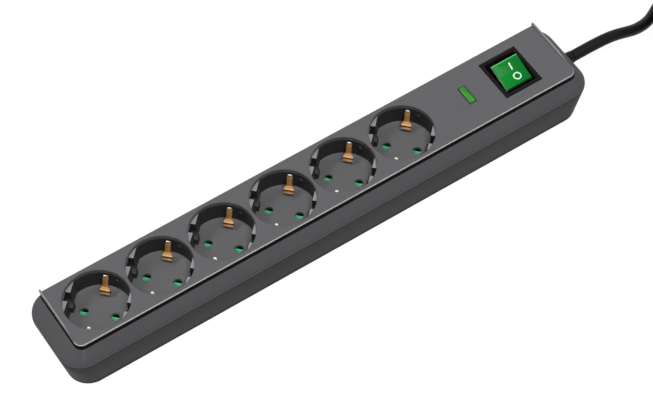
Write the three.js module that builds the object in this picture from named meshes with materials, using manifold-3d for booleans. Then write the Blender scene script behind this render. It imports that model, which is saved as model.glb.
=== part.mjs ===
// Six-way power strip with a rocker switch, an indicator window and a mains lead.
// Millimetres, +Z up. +X runs towards the lead's end, +Y away from the viewer.
// The origin is on the surface that the strip stands on, under the middle of its body.
import * as THREE from 'three';
import { mergeVertices } from 'three/addons/utils/BufferGeometryUtils.js';
import Module from 'manifold-3d';

const wasm = await Module();
wasm.setup();

// Driving dimensions of the body
const endRoom = 35.65;        // from the body's left end to the first socket
const switchRoom = 124.85;    // from the last socket to the body's right end
const bodyWidth = 59;
const bodyHeight = 41;        // up to the top face of the socket panel
const creaseHeight = 27;      // edge between the sloping shoulder and the lower wall
const bodyCorner = 15;
const sideDraft = 3.4;        // how far the long walls lean in towards the base
const endDraft = 5;           // the same on the two short walls
const baseChamfer = 0.9;
const shellWall = 2.3;
const shellFloor = 2.4;

// Driving dimensions of the socket panel
const panelInset = 10.3;      // from the body's end to the panel's end
const panelWidth = 45.9;
const nearCorner = 5;         // the two corners on the viewer's side
const farCorner = 1.6;
const panelEdge = 1.5;        // thickness of the panel where it overhangs the groove
const panelRound = 0.8;
const panelPlate = 2.2;
const grooveHeight = 2.4;     // dark gap between the panel and the shoulder
const skirtInset = 1.2;
const skirtWall = 1.6;
const skirtDepth = 5;
const beadHeight = 1.3;       // raised lip along the two short edges
const beadWidth = 1.5;
const beadFade = 16;          // length over which the lip rises from the near corner
const beadReach = 0.7;        // the lip runs this far past the panel's far edge
const shoulderLip = 0.6;      // the shoulder's top edge stands this far outside the panel

// Driving dimensions of the socket recesses
const socketCount = 6;
const socketPitch = 42.7;
const recessRadius = 20.35;
const recessDepth = 16.7;
const cupWall = 1.35;
const cupFloor = 2;
const pinSpacing = 19;
const pinHoleRadius = 2.65;
const flatDistance = 16.9;    // half the width across the two flats of a recess
const ledgeDepth = 3;         // the flats start this far below the panel
const ribWidth = 4.6;
const ribReach = 1.9;         // how far a guide rib stands in from its flat
const ribTopDepth = 11;
const notchWidth = 6.2;       // gap in the ledge over each rib
const pinLineAngle = -Math.PI / 4;   // the pin line runs to the near right
const clipLineAngle = Math.PI / 4;

// Clearances
const seatGap = 0.3;          // between faces that rest on each other
const runGap = 0.35;          // round pivots

// Driving dimensions of the contacts under the recesses
const stripMetal = 0.8;
const clipWidth = 5;
const clipTipWidth = 3.4;
const clipFootRadius = 15.2;
const clipBulgeRadius = 14.4;
const clipTopRadius = 18.1;
const clipTopDepth = 2.4;
const clipBaseGap = 0.6;      // under the carrier
const tulipLength = 6;
const tulipWidth = 6.4;
const tulipSlot = 4.4;
const barHeight = 5;
const barThickness = 1.2;
const barWidth = 4;
const earthBarWidth = 5;
const earthBarReach = 12;     // bar past the centre of the last socket
const carrierWidth = 26.8;
const carrierThickness = 1.5;
const carrierGap = 0.7;       // under the shutters
const carrierEnd = 17;        // carrier past the centre of the outer sockets
const carrierFoot = 3;

// Driving dimensions of the shutters
const shutterThickness = 1.8;
const shutterHub = 3.9;
const shutterWing = 7.2;
const shutterReach = 13.2;
const shutterPost = 1.5;
const springWire = 0.5;
const springRadius = 2.6;

// Driving dimensions of the switch
const lensToSwitch = 32.05;
const switchY = 0.4;
const bezelLength = 26.4;
const bezelWidth = 30;
const bezelProud = 0.5;
const bezelFlange = 1.4;
const switchWall = 1.5;
const switchPitLength = 21.4;
const switchPitWidth = 24.6;
const switchPitDepth = 14;
const switchFloor = 1.6;
const rockerLength = 19;      // along X
const rockerWidth = 18.3;     // along Y, across the top
const rockerTop = 5.6;        // top face above the pivot
const rockerBottom = 5.4;
const rockerFoot = 9;
const pivotDrop = 2.9;        // pivot below the top of the panel
const rockerTilt = 17 * Math.PI / 180;
const trunnionRadius = 1.4;
const trunnionReach = 2;
const leverLength = 15;
const leverWidth = 5;
const leverDrop = 8.8;        // lever pivot below the rocker pivot
const pegLength = 8.05;       // peg under the rocker, from the pivot
const pegRadius = 1.2;
const leverTilt = 6 * Math.PI / 180;
const leverPin = 1;
const terminalWidth = 6.3;
const terminalHeight = 8;
const terminalSpread = 6;

// Driving dimensions of the indicator and the surge protection
const socketToLens = 48.7;
const lensY = 0.75;
const lensLength = 4;         // along X
const lensWidth = 12.6;       // along Y
const lensProud = 0.5;
const lensFlange = 1;
const lensLip = 1;
const boardShift = 5.35;      // from the board's middle to the lens
const boardLength = 38;
const boardWidth = 40;
const boardThickness = 1.6;
const boardHeight = 13.8;
const standoffRadius = 2.2;
const standoffInset = 4;
const varistorRadius = 6.2;
const varistorThickness = 4.6;
const fuseRadius = 2.2;
const fuseLength = 11;
const lampRadius = 2.4;

// Driving dimensions of the housing screws
const bossRadius = 3.5;
const bossFoot = 12;
const screwShank = 1.45;
const screwLength = 17;
const screwHead = 3;
const screwHeadHeight = 2.2;
const screwHeadBase = 2.4;
const bossRowY = 17.4;
const endBossInset = 11.2;    // from the panel's end

// Driving dimensions of the wall hanging slots
const keyholeEntry = 4.2;
const keyholeSlot = 2.2;
const keyholeTravel = 8;

// Driving dimensions of the lead
const cordDiameter = 7.4;
const cordDrop = 19;          // from the panel's top down to the lead where it leaves the body
const glandLength = 22;
const glandOut = 5;           // how much of the gland stands out of the wall
const glandThick = 6;
const glandThin = 4.5;
const glandFlange = 7.4;
const glandFlangeLength = 2.4;
const clampInset = 25.5;      // from the body's end
const clampWidth = 7;
const clampThickness = 3;
const clampReach = 9.2;
const sheathLength = 11.5;
const leadDiameter = 2.6;
const leadBelow = 0.6;        // the earth wire passes the switch this far below the lead's middle
const leadTurnDown = 5;

// Route of the free lead from the gland to the coil, laid out by hand
const leadRoute = [
  [191.4, 0, 22], [197, 0, 22], [203, 0, 22], [210, 0, 21.8], [217, 0, 21.2], [223, 0, 20.1],
  [229, 0, 18.2], [235, 0.1, 15.7], [241, 0.6, 13], [247, 1.8, 10.5], [253, 3.6, 8.3], [258, 5.7, 6.8],
  [263, 8.3, 5.7], [266.6, 10.4, 5.2], [270, 12.3, 4.95], [276.3, 16, 4.95],
];
const routeEnd = [6.7, 3.85];  // before the coil's first point

// Driving dimensions of the coil and the plug
const coilX = 305;
const coilY = -19;
const coilMiddle = 37.1;      // mean radius of the turns, to the middle of the cord
const coilLayers = 3;
const coilPitch = 8.1;
const coilJoin = Math.PI * 2 / 3;
const coilClimb = 0.25;       // half of a climb between two layers, in turns
const coilSteps = 24;
const coilSides = 6;
const coilLift = 1.25;        // room under the coil for the tie
const tieThickness = 0.8;
const tieWidth = 9;
const tieGap = 0.4;
const tailStraight = 19.3;
const tailEnd = 3;
const tailClimb = [-24, 22];  // where the tail climbs onto the coil, along its path
const plugHeading = -Math.PI / 18;
const tieAngle = plugHeading - 0.65;
const plugRadius = 19.3;
const plugHeight = 25;
const plugCorner = 3;
const plugNeck = 25;
const plugNeckHeight = 13.05;
const plugNeckThin = 4;
const plugNeckThick = 6.4;
const plugPinRadius = 2.4;
const plugPinLength = 19;
const plugEarthWidth = 7;
const plugEarthThickness = 0.8;
const plugGrooveDepth = 1.4;

// Values that follow from the driving dimensions
const rowLength = (socketCount - 1) * socketPitch;
const bodyLength = endRoom + rowLength + switchRoom;
const panelLength = bodyLength - 2 * panelInset;
const firstSocketX = endRoom - bodyLength / 2;
const socketX = Array.from({ length: socketCount }, (_, i) => firstSocketX + i * socketPitch);
const lastSocketX = firstSocketX + rowLength;
const lensX = lastSocketX + socketToLens;
const switchX = lensX + lensToSwitch;
const boardX = lensX - boardShift;
const keyholeX = [firstSocketX + 1.5 * socketPitch, lastSocketX + 0.5 * socketPitch];
const recessFloor = bodyHeight - recessDepth;
const cupBottom = recessFloor - cupFloor;
const shoulderTop = bodyHeight - panelEdge - grooveHeight;
const pinOffset = pinSpacing / 2;
const shutterTop = cupBottom - seatGap;
const shutterBottom = shutterTop - shutterThickness;
const carrierTop = shutterBottom - carrierGap;
const clipBaseHeight = carrierTop - carrierThickness - clipBaseGap - stripMetal;
const pivotHeight = bodyHeight - pivotDrop;
const cordHeight = bodyHeight - cordDrop;
const clampX = bodyLength / 2 - clampInset;
const wallX = (height) => bodyLength / 2 - endDraft * (1 - height / creaseHeight);
const endBossX = panelLength / 2 - endBossInset;
const bossX = [0.5, 3.5].map((step) => firstSocketX + step * socketPitch).concat(endBossX);
const glandEnd = wallX(cordHeight) + glandOut;
const glandStart = glandEnd - glandLength;
const coilCentre = new THREE.Vector2(coilX, coilY);
const coilLow = cordDiameter / 2 + coilLift;
const coilTurns = 6 - (1.5 * Math.PI + plugHeading - coilJoin) / (2 * Math.PI);
const layerTurns = coilTurns / coilLayers;
const coilSpan = coilPitch * layerTurns;
const coilOuter = coilMiddle + coilSpan / 2;
const coilInner = coilMiddle - coilSpan / 2;
const coilTop = coilLow + coilPitch * (coilLayers - 1) + cordDiameter / 2;
const plugBase = coilTop + 0.4;

const materials = {
  panel: [0x67676a, 0.45, 0],
  body: [0x4c4c4f, 0.55, 0],
  black: [0x121214, 0.5, 0],
  green: [0x008c28, 0.3, 0],
  clearGreen: [0x32a032, 0.2, 0],
  lamp: [0xd8e8d0, 0.3, 0],
  ivory: [0xd9d4c4, 0.6, 0],
  copper: [0xc98a4a, 0.3, 1],
  brass: [0xc9a64f, 0.35, 1],
  steel: [0xb9bbbd, 0.35, 1],
  board: [0x2d6a3c, 0.6, 0],
  varistor: [0x2d62a8, 0.5, 0],
  brownWire: [0x6b3a1e, 0.5, 0],
  blueWire: [0x2a4f9e, 0.5, 0],
  earthWire: [0x9aa62c, 0.5, 0],
  cord: [0x17171a, 0.6, 0],
};

const strip = new THREE.Group();

function addPart(name, geometry, look, place) {
  const [color, roughness, metalness] = materials[look];
  const mesh = new THREE.Mesh(geometry, new THREE.MeshStandardMaterial({ color, roughness, metalness }));
  mesh.name = name;
  if (place) mesh.applyMatrix4(place);
  strip.add(mesh);
  return mesh;
}

// Solids: a closed geometry to a solid and back
function toSolid(geometry) {
  const bare = geometry.clone();
  bare.deleteAttribute('normal');
  bare.deleteAttribute('uv');
  const merged = mergeVertices(bare, 1e-4);
  const vertProperties = new Float32Array(merged.attributes.position.array);
  const triVerts = new Uint32Array(merged.index.array);
  return new wasm.Manifold(new wasm.Mesh({ numProp: 3, vertProperties, triVerts }));
}

function fromSolid(solid) {
  const mesh = solid.getMesh();
  const geometry = new THREE.BufferGeometry();
  geometry.setAttribute('position', new THREE.BufferAttribute(new Float32Array(mesh.vertProperties), 3));
  geometry.setIndex(new THREE.BufferAttribute(new Uint32Array(mesh.triVerts), 1));
  geometry.computeVertexNormals();
  return geometry;
}

const joined = (solids) => solids.reduce((sum, next) => sum.add(next));

// A box from its low and high corners
function block(x0, x1, y0, y1, z0, z1) {
  const geometry = new THREE.BoxGeometry(x1 - x0, y1 - y0, z1 - z0);
  return geometry.translate((x0 + x1) / 2, (y0 + y1) / 2, (z0 + z1) / 2);
}

const blockAt = (x, y, z0, z1, sx, sy) => block(x - sx / 2, x + sx / 2, y - sy / 2, y + sy / 2, z0, z1);

// An upright cylinder or cone
function post(x, y, z0, z1, radius, sides = 16, topRadius = radius) {
  const geometry = new THREE.CylinderGeometry(topRadius, radius, z1 - z0, sides);
  return geometry.rotateX(Math.PI / 2).translate(x, y, (z0 + z1) / 2);
}

// A cylinder or cone along X
function rod(x0, x1, y, z, radius, sides = 16, endRadius = radius) {
  const geometry = new THREE.CylinderGeometry(endRadius, radius, x1 - x0, sides);
  return geometry.rotateZ(-Math.PI / 2).translate((x0 + x1) / 2, y, z);
}

// Turns a shape about a vertical axis through x, y
function turned(geometry, angle, x, y) {
  return geometry.translate(-x, -y, 0).rotateZ(angle).translate(x, y, 0);
}

// A rounded rectangle of points at one height. Near corners have one radius and far corners another
function roundedRing(halfX, halfY, near, far, z, steps = 5) {
  const corners = [[1, 1, far, 0], [-1, 1, far, 1], [-1, -1, near, 2], [1, -1, near, 3]];
  const ring = [];
  for (const [signX, signY, radius, quarter] of corners) {
    const cx = signX * (halfX - radius);
    const cy = signY * (halfY - radius);
    for (let i = 0; i <= steps; i += 1) {
      const angle = (quarter + i / steps) * Math.PI / 2;
      ring.push([cx + radius * Math.cos(angle), cy + radius * Math.sin(angle), z]);
    }
  }
  return ring;
}

// Joins rings of equally many points, from the outer bottom up and round to the inner floor
function stackedRings(rings) {
  const count = rings[0].length;
  const positions = rings.flat(2);
  const index = [];
  for (let level = 0; level + 1 < rings.length; level += 1) {
    for (let i = 0; i < count; i += 1) {
      const a = level * count + i;
      const b = level * count + (i + 1) % count;
      index.push(a, b, b + count, a, b + count, a + count);
    }
  }
  const last = (rings.length - 1) * count;
  for (let i = 1; i + 1 < count; i += 1) {
    index.push(0, i + 1, i, last, last + i, last + i + 1);
  }
  const geometry = new THREE.BufferGeometry();
  geometry.setAttribute('position', new THREE.Float32BufferAttribute(positions, 3));
  geometry.setIndex(index);
  return geometry;
}

// A flat strip of metal that follows a line of [s, z] points in the upright plane at an angle
function bentStrip(points, thickness, width, angle, x, y) {
  const left = [];
  const right = [];
  points.forEach(([s, z], i) => {
    const [ps, pz] = points[Math.max(i - 1, 0)];
    const [ns, nz] = points[Math.min(i + 1, points.length - 1)];
    const length = Math.hypot(ns - ps, nz - pz);
    const os = (-(nz - pz) / length) * thickness / 2;
    const oz = ((ns - ps) / length) * thickness / 2;
    left.push(new THREE.Vector2(s + os, z + oz));
    right.push(new THREE.Vector2(s - os, z - oz));
  });
  const shape = new THREE.Shape([...left, ...right.reverse()]);
  const geometry = new THREE.ExtrudeGeometry(shape, { depth: width, bevelEnabled: false });
  geometry.translate(0, 0, -width / 2).rotateX(Math.PI / 2).rotateZ(angle);
  return geometry.translate(x, y, 0);
}

// A round tube along a curve, closed at both ends
function tubeAlong(path, radius, sides, steps) {
  const outline = new THREE.Shape(Array.from({ length: sides }, (_, k) => {
    const angle = k * Math.PI * 2 / sides;
    return new THREE.Vector2(radius * Math.cos(angle), radius * Math.sin(angle));
  }));
  return new THREE.ExtrudeGeometry(outline, { steps, bevelEnabled: false, extrudePath: path });
}

function roundTube(points, radius, sides, steps) {
  return tubeAlong(new THREE.CatmullRomCurve3(points, false, 'centripetal'), radius, sides, steps);
}

// Lower shell: base, leaning walls and sloping shoulder in one moulding
function bottomShell() {
  const halfX = bodyLength / 2;
  const halfY = bodyWidth / 2;
  const panelX = panelLength / 2;
  const panelY = panelWidth / 2;
  const base = (inset, z) => roundedRing(halfX - endDraft - inset, halfY - sideDraft - inset,
    bodyCorner - 1 - inset, bodyCorner - 1 - inset, z);
  const crease = (inset, z) => roundedRing(halfX - inset, halfY - inset, bodyCorner - inset,
    bodyCorner - inset, z);
  const rim = (offset, z) => roundedRing(panelX + offset, panelY + offset, nearCorner + offset,
    farCorner + offset, z);
  let shell = toSolid(stackedRings([
    base(baseChamfer, 0),
    base(0, baseChamfer),
    crease(0, creaseHeight),
    rim(shoulderLip, shoulderTop),
    rim(seatGap - skirtInset, shoulderTop),
    crease(shellWall, creaseHeight - shellWall / 3),
    base(shellWall, shellFloor),
  ]));
  const bosses = [];
  const holes = [];
  for (const x of bossX) {
    for (const side of [-1, 1]) {
      bosses.push(toSolid(post(x, side * bossRowY, shellFloor - 1, bossFoot - seatGap, bossRadius)));
      holes.push(toSolid(post(x, side * bossRowY, screwHeadBase + screwHeadHeight, bossFoot,
        screwShank + runGap)));
      holes.push(toSolid(post(x, side * bossRowY, -1, screwHeadBase + screwHeadHeight, screwHead + runGap)));
    }
  }
  for (const sx of [-1, 1]) {
    for (const sy of [-1, 1]) {
      const x = boardX + sx * (boardLength / 2 - standoffInset);
      const y = lensY + sy * (boardWidth / 2 - standoffInset);
      bosses.push(toSolid(post(x, y, shellFloor - 1, boardHeight - seatGap, standoffRadius, 12)));
    }
  }
  for (const side of [-1, 1]) {
    const top = cordHeight - clampThickness / 2 - seatGap;
    bosses.push(toSolid(post(clampX, side * clampReach, shellFloor - 1, top, bossRadius)));
    holes.push(toSolid(post(clampX, side * clampReach, top - 9, top + 1, screwShank + runGap)));
  }
  const saddle = blockAt(clampX, 0, shellFloor - 1, cordHeight - cordDiameter / 2 - seatGap, clampWidth, 7);
  bosses.push(toSolid(saddle));
  holes.push(toSolid(rod(wallX(cordHeight) - 8, bodyLength, 0, cordHeight, glandThick + seatGap)));
  for (const x of keyholeX) holes.push(keyhole(x));
  shell = joined([shell, ...bosses]);
  return fromSolid(shell.subtract(joined(holes)));
}

// Wall hanging slot: a round entry for a screw head and a narrow slot for its shank
function keyhole(x) {
  const entry = toSolid(post(x, 0, -1, shellFloor + 1, keyholeEntry));
  const slot = toSolid(block(x, x + keyholeTravel, -keyholeSlot, keyholeSlot, -1, shellFloor + 1));
  const end = toSolid(post(x + keyholeTravel, 0, -1, shellFloor + 1, keyholeSlot));
  return joined([entry, slot, end]);
}

// One recess to cut out of the socket panel, with its flats, pin holes and clip slots
function recessCut(x) {
  const upper = toSolid(post(x, 0, bodyHeight - ledgeDepth, bodyHeight + 1, recessRadius, 40));
  const round = toSolid(post(x, 0, recessFloor, bodyHeight - ledgeDepth + 0.5, recessRadius, 40));
  const between = block(x - flatDistance, x + flatDistance, -30, 30, recessFloor - 1, bodyHeight);
  const lower = round.intersect(toSolid(turned(between, pinLineAngle, x, 0)));
  const cuts = [];
  for (const side of [-1, 1]) {
    const px = x + side * pinOffset * Math.cos(pinLineAngle);
    const py = side * pinOffset * Math.sin(pinLineAngle);
    cuts.push(toSolid(post(px, py, cupBottom - 1, recessFloor + 1, pinHoleRadius, 20)));
    const slot = blockAt(x + side * (clipFootRadius + 0.2), 0, cupBottom - 1, recessFloor + 1,
      stripMetal + 1.6, clipWidth + 2 * seatGap);
    cuts.push(toSolid(turned(slot, clipLineAngle, x, 0)));
  }
  const notch = blockAt(x, 0, bodyHeight - ribTopDepth, bodyHeight - ledgeDepth + 0.2,
    2 * recessRadius - 0.4, notchWidth);
  cuts.push(toSolid(turned(notch, pinLineAngle, x, 0)));
  return joined([upper, lower, ...cuts]);
}

// The two guide ribs of a recess, in line with the pins
function guideRibs(x) {
  return [-1, 1].map((side) => {
    const inner = flatDistance - ribReach;
    const outer = recessRadius + cupWall / 2;
    const rib = blockAt(x + side * (inner + outer) / 2, 0, recessFloor - 0.5, bodyHeight - ribTopDepth,
      outer - inner, ribWidth);
    return toSolid(turned(rib, pinLineAngle, x, 0));
  });
}

// Raised lip on one short edge of the panel, fading out towards the near corner
function endBead(side) {
  const outer = panelLength / 2 - 0.05;
  const low = bodyHeight - panelRound;
  const section = (y, rise) => {
    const points = [[outer - beadWidth, low], [outer, low], [outer, bodyHeight - 0.4 + rise * 0.7],
      [outer - 0.5, bodyHeight - 0.05 + rise], [outer - 1.2, bodyHeight - 0.05 + rise],
      [outer - beadWidth, bodyHeight - 0.2 + rise * 0.15]];
    const ring = points.map(([x, z]) => [side * x, y, z]);
    return side < 0 ? ring : ring.reverse();
  };
  const near = nearCorner - panelWidth / 2;
  return stackedRings([section(near, 0), section(near + beadFade, beadHeight),
    section(panelWidth / 2 + beadReach - 0.5, beadHeight), section(panelWidth / 2 + beadReach,
      beadHeight * 0.6)]);
}

// Upper shell: the socket panel with its six cups, ribs, shutter posts and screw bosses
function topShell() {
  const halfX = panelLength / 2;
  const halfY = panelWidth / 2;
  const edge = (inset, z) => roundedRing(halfX - inset, halfY - inset, nearCorner - Math.min(inset, 4),
    Math.max(farCorner - inset, 0.4), z);
  const skirtLow = bodyHeight - panelEdge - grooveHeight - skirtDepth;
  const solids = [toSolid(stackedRings([
    edge(skirtInset + skirtWall, bodyHeight - panelPlate),
    edge(skirtInset + skirtWall, skirtLow),
    edge(skirtInset, skirtLow),
    edge(skirtInset, bodyHeight - panelEdge),
    edge(0, bodyHeight - panelEdge),
    edge(0, bodyHeight - panelRound),
    edge(panelRound * 0.3, bodyHeight - panelRound * 0.3),
    edge(panelRound, bodyHeight),
  ]))];
  for (const side of [-1, 1]) solids.push(toSolid(endBead(side)));
  for (const x of socketX) {
    solids.push(toSolid(post(x, 0, cupBottom, bodyHeight - 1, recessRadius + cupWall, 40)));
  }
  for (const x of bossX) {
    for (const side of [-1, 1]) {
      solids.push(toSolid(post(x, side * bossRowY, bossFoot, bodyHeight - 1, bossRadius)));
    }
  }
  const cuts = socketX.map(recessCut);
  for (const x of bossX) {
    for (const side of [-1, 1]) {
      cuts.push(toSolid(post(x, side * bossRowY, bossFoot - 1, bossFoot + screwLength - 4,
        screwShank + runGap, 12)));
    }
  }
  cuts.push(toSolid(blockAt(lensX, lensY, bodyHeight - 4, bodyHeight + 1,
    lensLength + 2 * seatGap, lensWidth + 2 * seatGap)));
  cuts.push(toSolid(blockAt(switchX, switchY, bodyHeight - switchPitDepth - switchFloor - seatGap,
    bodyHeight + 1,
    switchPitLength + 2 * switchWall + 2 * seatGap, switchPitWidth + 2 * switchWall + 2 * seatGap)));
  cuts.push(toSolid(blockAt(switchX, switchY, bodyHeight + bezelProud - bezelFlange - seatGap, bodyHeight + 1,
    bezelLength + 2 * seatGap, bezelWidth + 2 * seatGap)));
  const ribs = socketX.flatMap(guideRibs);
  const posts = socketX.map((x) => toSolid(post(x, 0, shutterBottom - 0.4, cupBottom + 0.5,
    shutterPost, 12)));
  return fromSolid(joined(solids).subtract(joined(cuts)).add(joined([...ribs, ...posts])));
}

// Contact carrier: a moulded plate on feet that holds the bars and clips under the cups
function contactCarrier() {
  const low = carrierTop - carrierThickness;
  const x0 = firstSocketX - carrierEnd;
  const x1 = lastSocketX + carrierEnd;
  const solids = [toSolid(block(x0, x1, -carrierWidth / 2, carrierWidth / 2, low, carrierTop))];
  const cuts = [];
  for (const x of socketX) {
    for (const side of [-1, 1]) {
      const px = x + side * pinOffset * Math.cos(pinLineAngle);
      const py = side * pinOffset * Math.sin(pinLineAngle);
      cuts.push(toSolid(blockAt(px, py, low - 1, carrierTop + 1, tulipLength + 2 * seatGap,
        tulipWidth + 2 * seatGap)));
      const slot = blockAt(x + side * clipFootRadius, 0, low - 1, carrierTop + 1,
        stripMetal + 4 * seatGap, clipWidth + 2 * seatGap);
      cuts.push(toSolid(turned(slot, clipLineAngle, x, 0)));
    }
  }
  for (let i = 0; i <= socketCount; i += 1) {
    const x = firstSocketX + (i - 0.5) * socketPitch;
    const footX = Math.min(Math.max(x, x0 + carrierFoot), x1 - carrierFoot);
    for (const side of [-1, 1]) {
      const y = side * (carrierWidth / 2 - carrierFoot / 2);
      solids.push(toSolid(blockAt(footX, y, shellFloor + seatGap, low + 0.5, carrierFoot, carrierFoot)));
    }
  }
  return fromSolid(joined(solids).subtract(joined(cuts)));
}

// Line or neutral bar: a strip with six sprung contacts that grip the plug pins
function contactBar(side) {
  const y = side * pinOffset * Math.sin(pinLineAngle);
  const pins = socketX.map((x) => x + side * pinOffset * Math.cos(pinLineAngle));
  const x0 = pins[0] - tulipLength / 2;
  const x1 = pins[socketCount - 1] + tulipLength / 2;
  const solids = [toSolid(block(x0, x1, y - barWidth / 2, y + barWidth / 2, barHeight,
    barHeight + barThickness))];
  const cuts = [];
  for (const x of pins) {
    solids.push(toSolid(blockAt(x, y, barHeight, shutterBottom - 2 * seatGap, tulipLength, tulipWidth)));
    cuts.push(toSolid(blockAt(x, y, barHeight + barThickness, shutterTop, tulipLength + 1, tulipSlot)));
  }
  return fromSolid(joined(solids).subtract(joined(cuts)));
}

// Earth clip of one socket: a sprung strip bent up on both sides of the recess
function earthClip(x) {
  const base = clipBaseHeight + stripMetal / 2;
  const arm = [
    [clipFootRadius, base], [clipFootRadius, recessFloor + 1.5],
    [clipBulgeRadius, recessFloor + 6.5], [clipBulgeRadius + 0.7, recessFloor + 10],
    [clipTopRadius, bodyHeight - clipTopDepth - 1.2], [clipTopRadius - 0.3, bodyHeight - clipTopDepth],
  ];
  const whole = [...arm.map(([s, z]) => [-s, z]).reverse(), ...arm];
  const wide = toSolid(bentStrip(whole, stripMetal, clipWidth, clipLineAngle, x, 0));
  const side = (clipWidth - clipTipWidth) / 2;
  const trims = [-1, 1].map((sign) => {
    const y = sign * (clipWidth / 2 + 5 - side);
    const trim = block(x - 30, x + 30, y - 5, y + 5, recessFloor + 8, bodyHeight + 5);
    return toSolid(turned(trim, clipLineAngle, x, 0));
  });
  return fromSolid(wide.subtract(joined(trims)));
}

function earthBar() {
  const top = clipBaseHeight - seatGap;
  return block(firstSocketX - 8, lastSocketX + earthBarReach, -earthBarWidth / 2, earthBarWidth / 2,
    top - barThickness, top);
}

// Shutter: a green two-armed cover that turns on a post and closes both pin holes
function shutter(x) {
  const arms = turned(blockAt(x, 0, shutterBottom, shutterTop, 2 * shutterReach, shutterWing),
    pinLineAngle, x, 0);
  const hub = toSolid(post(x, 0, shutterBottom, shutterTop, shutterHub, 20));
  const bore = toSolid(post(x, 0, shutterBottom - 1, shutterTop + 1, shutterPost + runGap, 16));
  const pocket = toSolid(post(x, 0, shutterBottom - 1, shutterBottom + 2 * springWire + seatGap,
    springRadius + springWire + seatGap, 16));
  return fromSolid(toSolid(arms).add(hub).subtract(joined([bore, pocket])));
}

// Return spring of a shutter, wound flat round the post
function shutterSpring(x) {
  const profile = [];
  for (let i = 0; i <= 5; i += 1) {
    const angle = i * Math.PI * 2 / 5;
    profile.push(new THREE.Vector2(springRadius + springWire * Math.cos(angle),
      springWire * Math.sin(angle)));
  }
  const ring = new THREE.LatheGeometry(profile, 16);
  return ring.rotateX(Math.PI / 2).translate(x, 0, shutterBottom + springWire);
}

// Switch housing: black bezel and the pit that the rocker swings in
function switchHousing() {
  const top = bodyHeight + bezelProud;
  const floor = bodyHeight - switchPitDepth;
  const outerX = switchPitLength + 2 * switchWall;
  const outerY = switchPitWidth + 2 * switchWall;
  let housing = joined([
    toSolid(blockAt(switchX, switchY, top - bezelFlange, top, bezelLength, bezelWidth)),
    toSolid(blockAt(switchX, switchY, floor - switchFloor, top - 0.2, outerX, outerY)),
  ]);
  const cuts = [
    toSolid(blockAt(switchX, switchY, floor, top + 1, switchPitLength, switchPitWidth)),
    toSolid(rod(switchX - outerX, switchX + outerX, switchY, pivotHeight, trunnionRadius + runGap)),
  ];
  housing = housing.subtract(joined(cuts));
  const ridgeTop = pivotHeight - leverDrop - stripMetal / 2 - leverPin - seatGap;
  const ridge = blockAt(switchX, switchY, floor - 0.5, ridgeTop, leverWidth, 1.6);
  return fromSolid(housing.add(toSolid(ridge)));
}

// Rocker: green button with a flat top, sloping ends and a trunnion on each side
function rocker() {
  const top = rockerWidth / 2;
  const waist = top - 1.2;
  const foot = rockerFoot / 2;
  const profile = new THREE.Shape([
    new THREE.Vector2(-foot, -rockerBottom), new THREE.Vector2(foot, -rockerBottom),
    new THREE.Vector2(waist, rockerTop - 6.4), new THREE.Vector2(top, rockerTop - 0.7),
    new THREE.Vector2(top - 0.6, rockerTop), new THREE.Vector2(-top + 0.6, rockerTop),
    new THREE.Vector2(-top, rockerTop - 0.7), new THREE.Vector2(-waist, rockerTop - 6.4),
  ]);
  const button = new THREE.ExtrudeGeometry(profile, { depth: rockerLength, bevelEnabled: false });
  button.translate(0, 0, -rockerLength / 2).rotateX(Math.PI / 2).rotateZ(Math.PI / 2);
  const pin = rod(-rockerLength / 2 - trunnionReach, rockerLength / 2 + trunnionReach, 0, 0, trunnionRadius);
  const peg = post(0, 0, -pegLength, -rockerBottom + 0.5, pegRadius, 12);
  const whole = fromSolid(joined([toSolid(button), toSolid(pin), toSolid(peg)]));
  return whole.rotateX(rockerTilt).translate(switchX, switchY, pivotHeight);
}

// Contact lever under the rocker, tipped the other way by it
function switchLever() {
  const bar = toSolid(blockAt(0, 0, -stripMetal / 2, stripMetal / 2, leverWidth, leverLength));
  const pin = toSolid(rod(-leverWidth / 2, leverWidth / 2, 0, -stripMetal / 2, leverPin, 12));
  const pads = [-1, 1].map((side) => {
    return toSolid(post(0, side * (leverLength / 2 - 1.6), -stripMetal / 2 - 0.8, 0, 1.2, 10));
  });
  const whole = fromSolid(joined([bar, pin, ...pads]));
  return whole.rotateX(-leverTilt).translate(switchX, switchY, pivotHeight - leverDrop);
}

function switchTerminal(side) {
  const top = bodyHeight - switchPitDepth - switchFloor - seatGap;
  return blockAt(switchX + side * terminalSpread, switchY, top - terminalHeight, top, stripMetal,
    terminalWidth);
}

// Indicator window: clear green pane with a flange under the panel
function indicatorLens() {
  const flangeTop = bodyHeight - panelPlate - seatGap;
  const pane = toSolid(blockAt(lensX, lensY, flangeTop - lensFlange, bodyHeight + lensProud,
    lensLength, lensWidth));
  const flange = toSolid(blockAt(lensX, lensY, flangeTop - lensFlange, flangeTop,
    lensLength + 2 * lensLip, lensWidth + 2 * lensLip));
  return fromSolid(pane.add(flange));
}

// Surge protection board with its varistors, thermal fuse and lamp
function surgeBoard() {
  return blockAt(boardX, lensY, boardHeight, boardHeight + boardThickness, boardLength, boardWidth);
}

function addBoardParts() {
  const top = boardHeight + boardThickness + seatGap;
  addPart('surge_board', surgeBoard(), 'board');
  for (let i = 0; i < 3; i += 1) {
    const y = lensY + (i - 1) * 13;
    const disc = rod(boardX - boardLength / 2 + 4, boardX - boardLength / 2 + 4 + varistorThickness, y,
      top + varistorRadius, varistorRadius, 20);
    addPart(`varistor_${i + 1}`, disc, 'varistor');
  }
  const fuseX = boardX + boardLength / 2 - 5;
  const fuse = rod(fuseX - fuseLength, fuseX, lensY + 12, top + fuseRadius, fuseRadius, 16);
  addPart('thermal_fuse', fuse, 'ivory');
  const lampTop = bodyHeight - panelPlate - lensFlange - 3 * seatGap;
  addPart('indicator_lamp', post(lensX, lensY, top, lampTop, lampRadius, 16), 'lamp');
}

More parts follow.
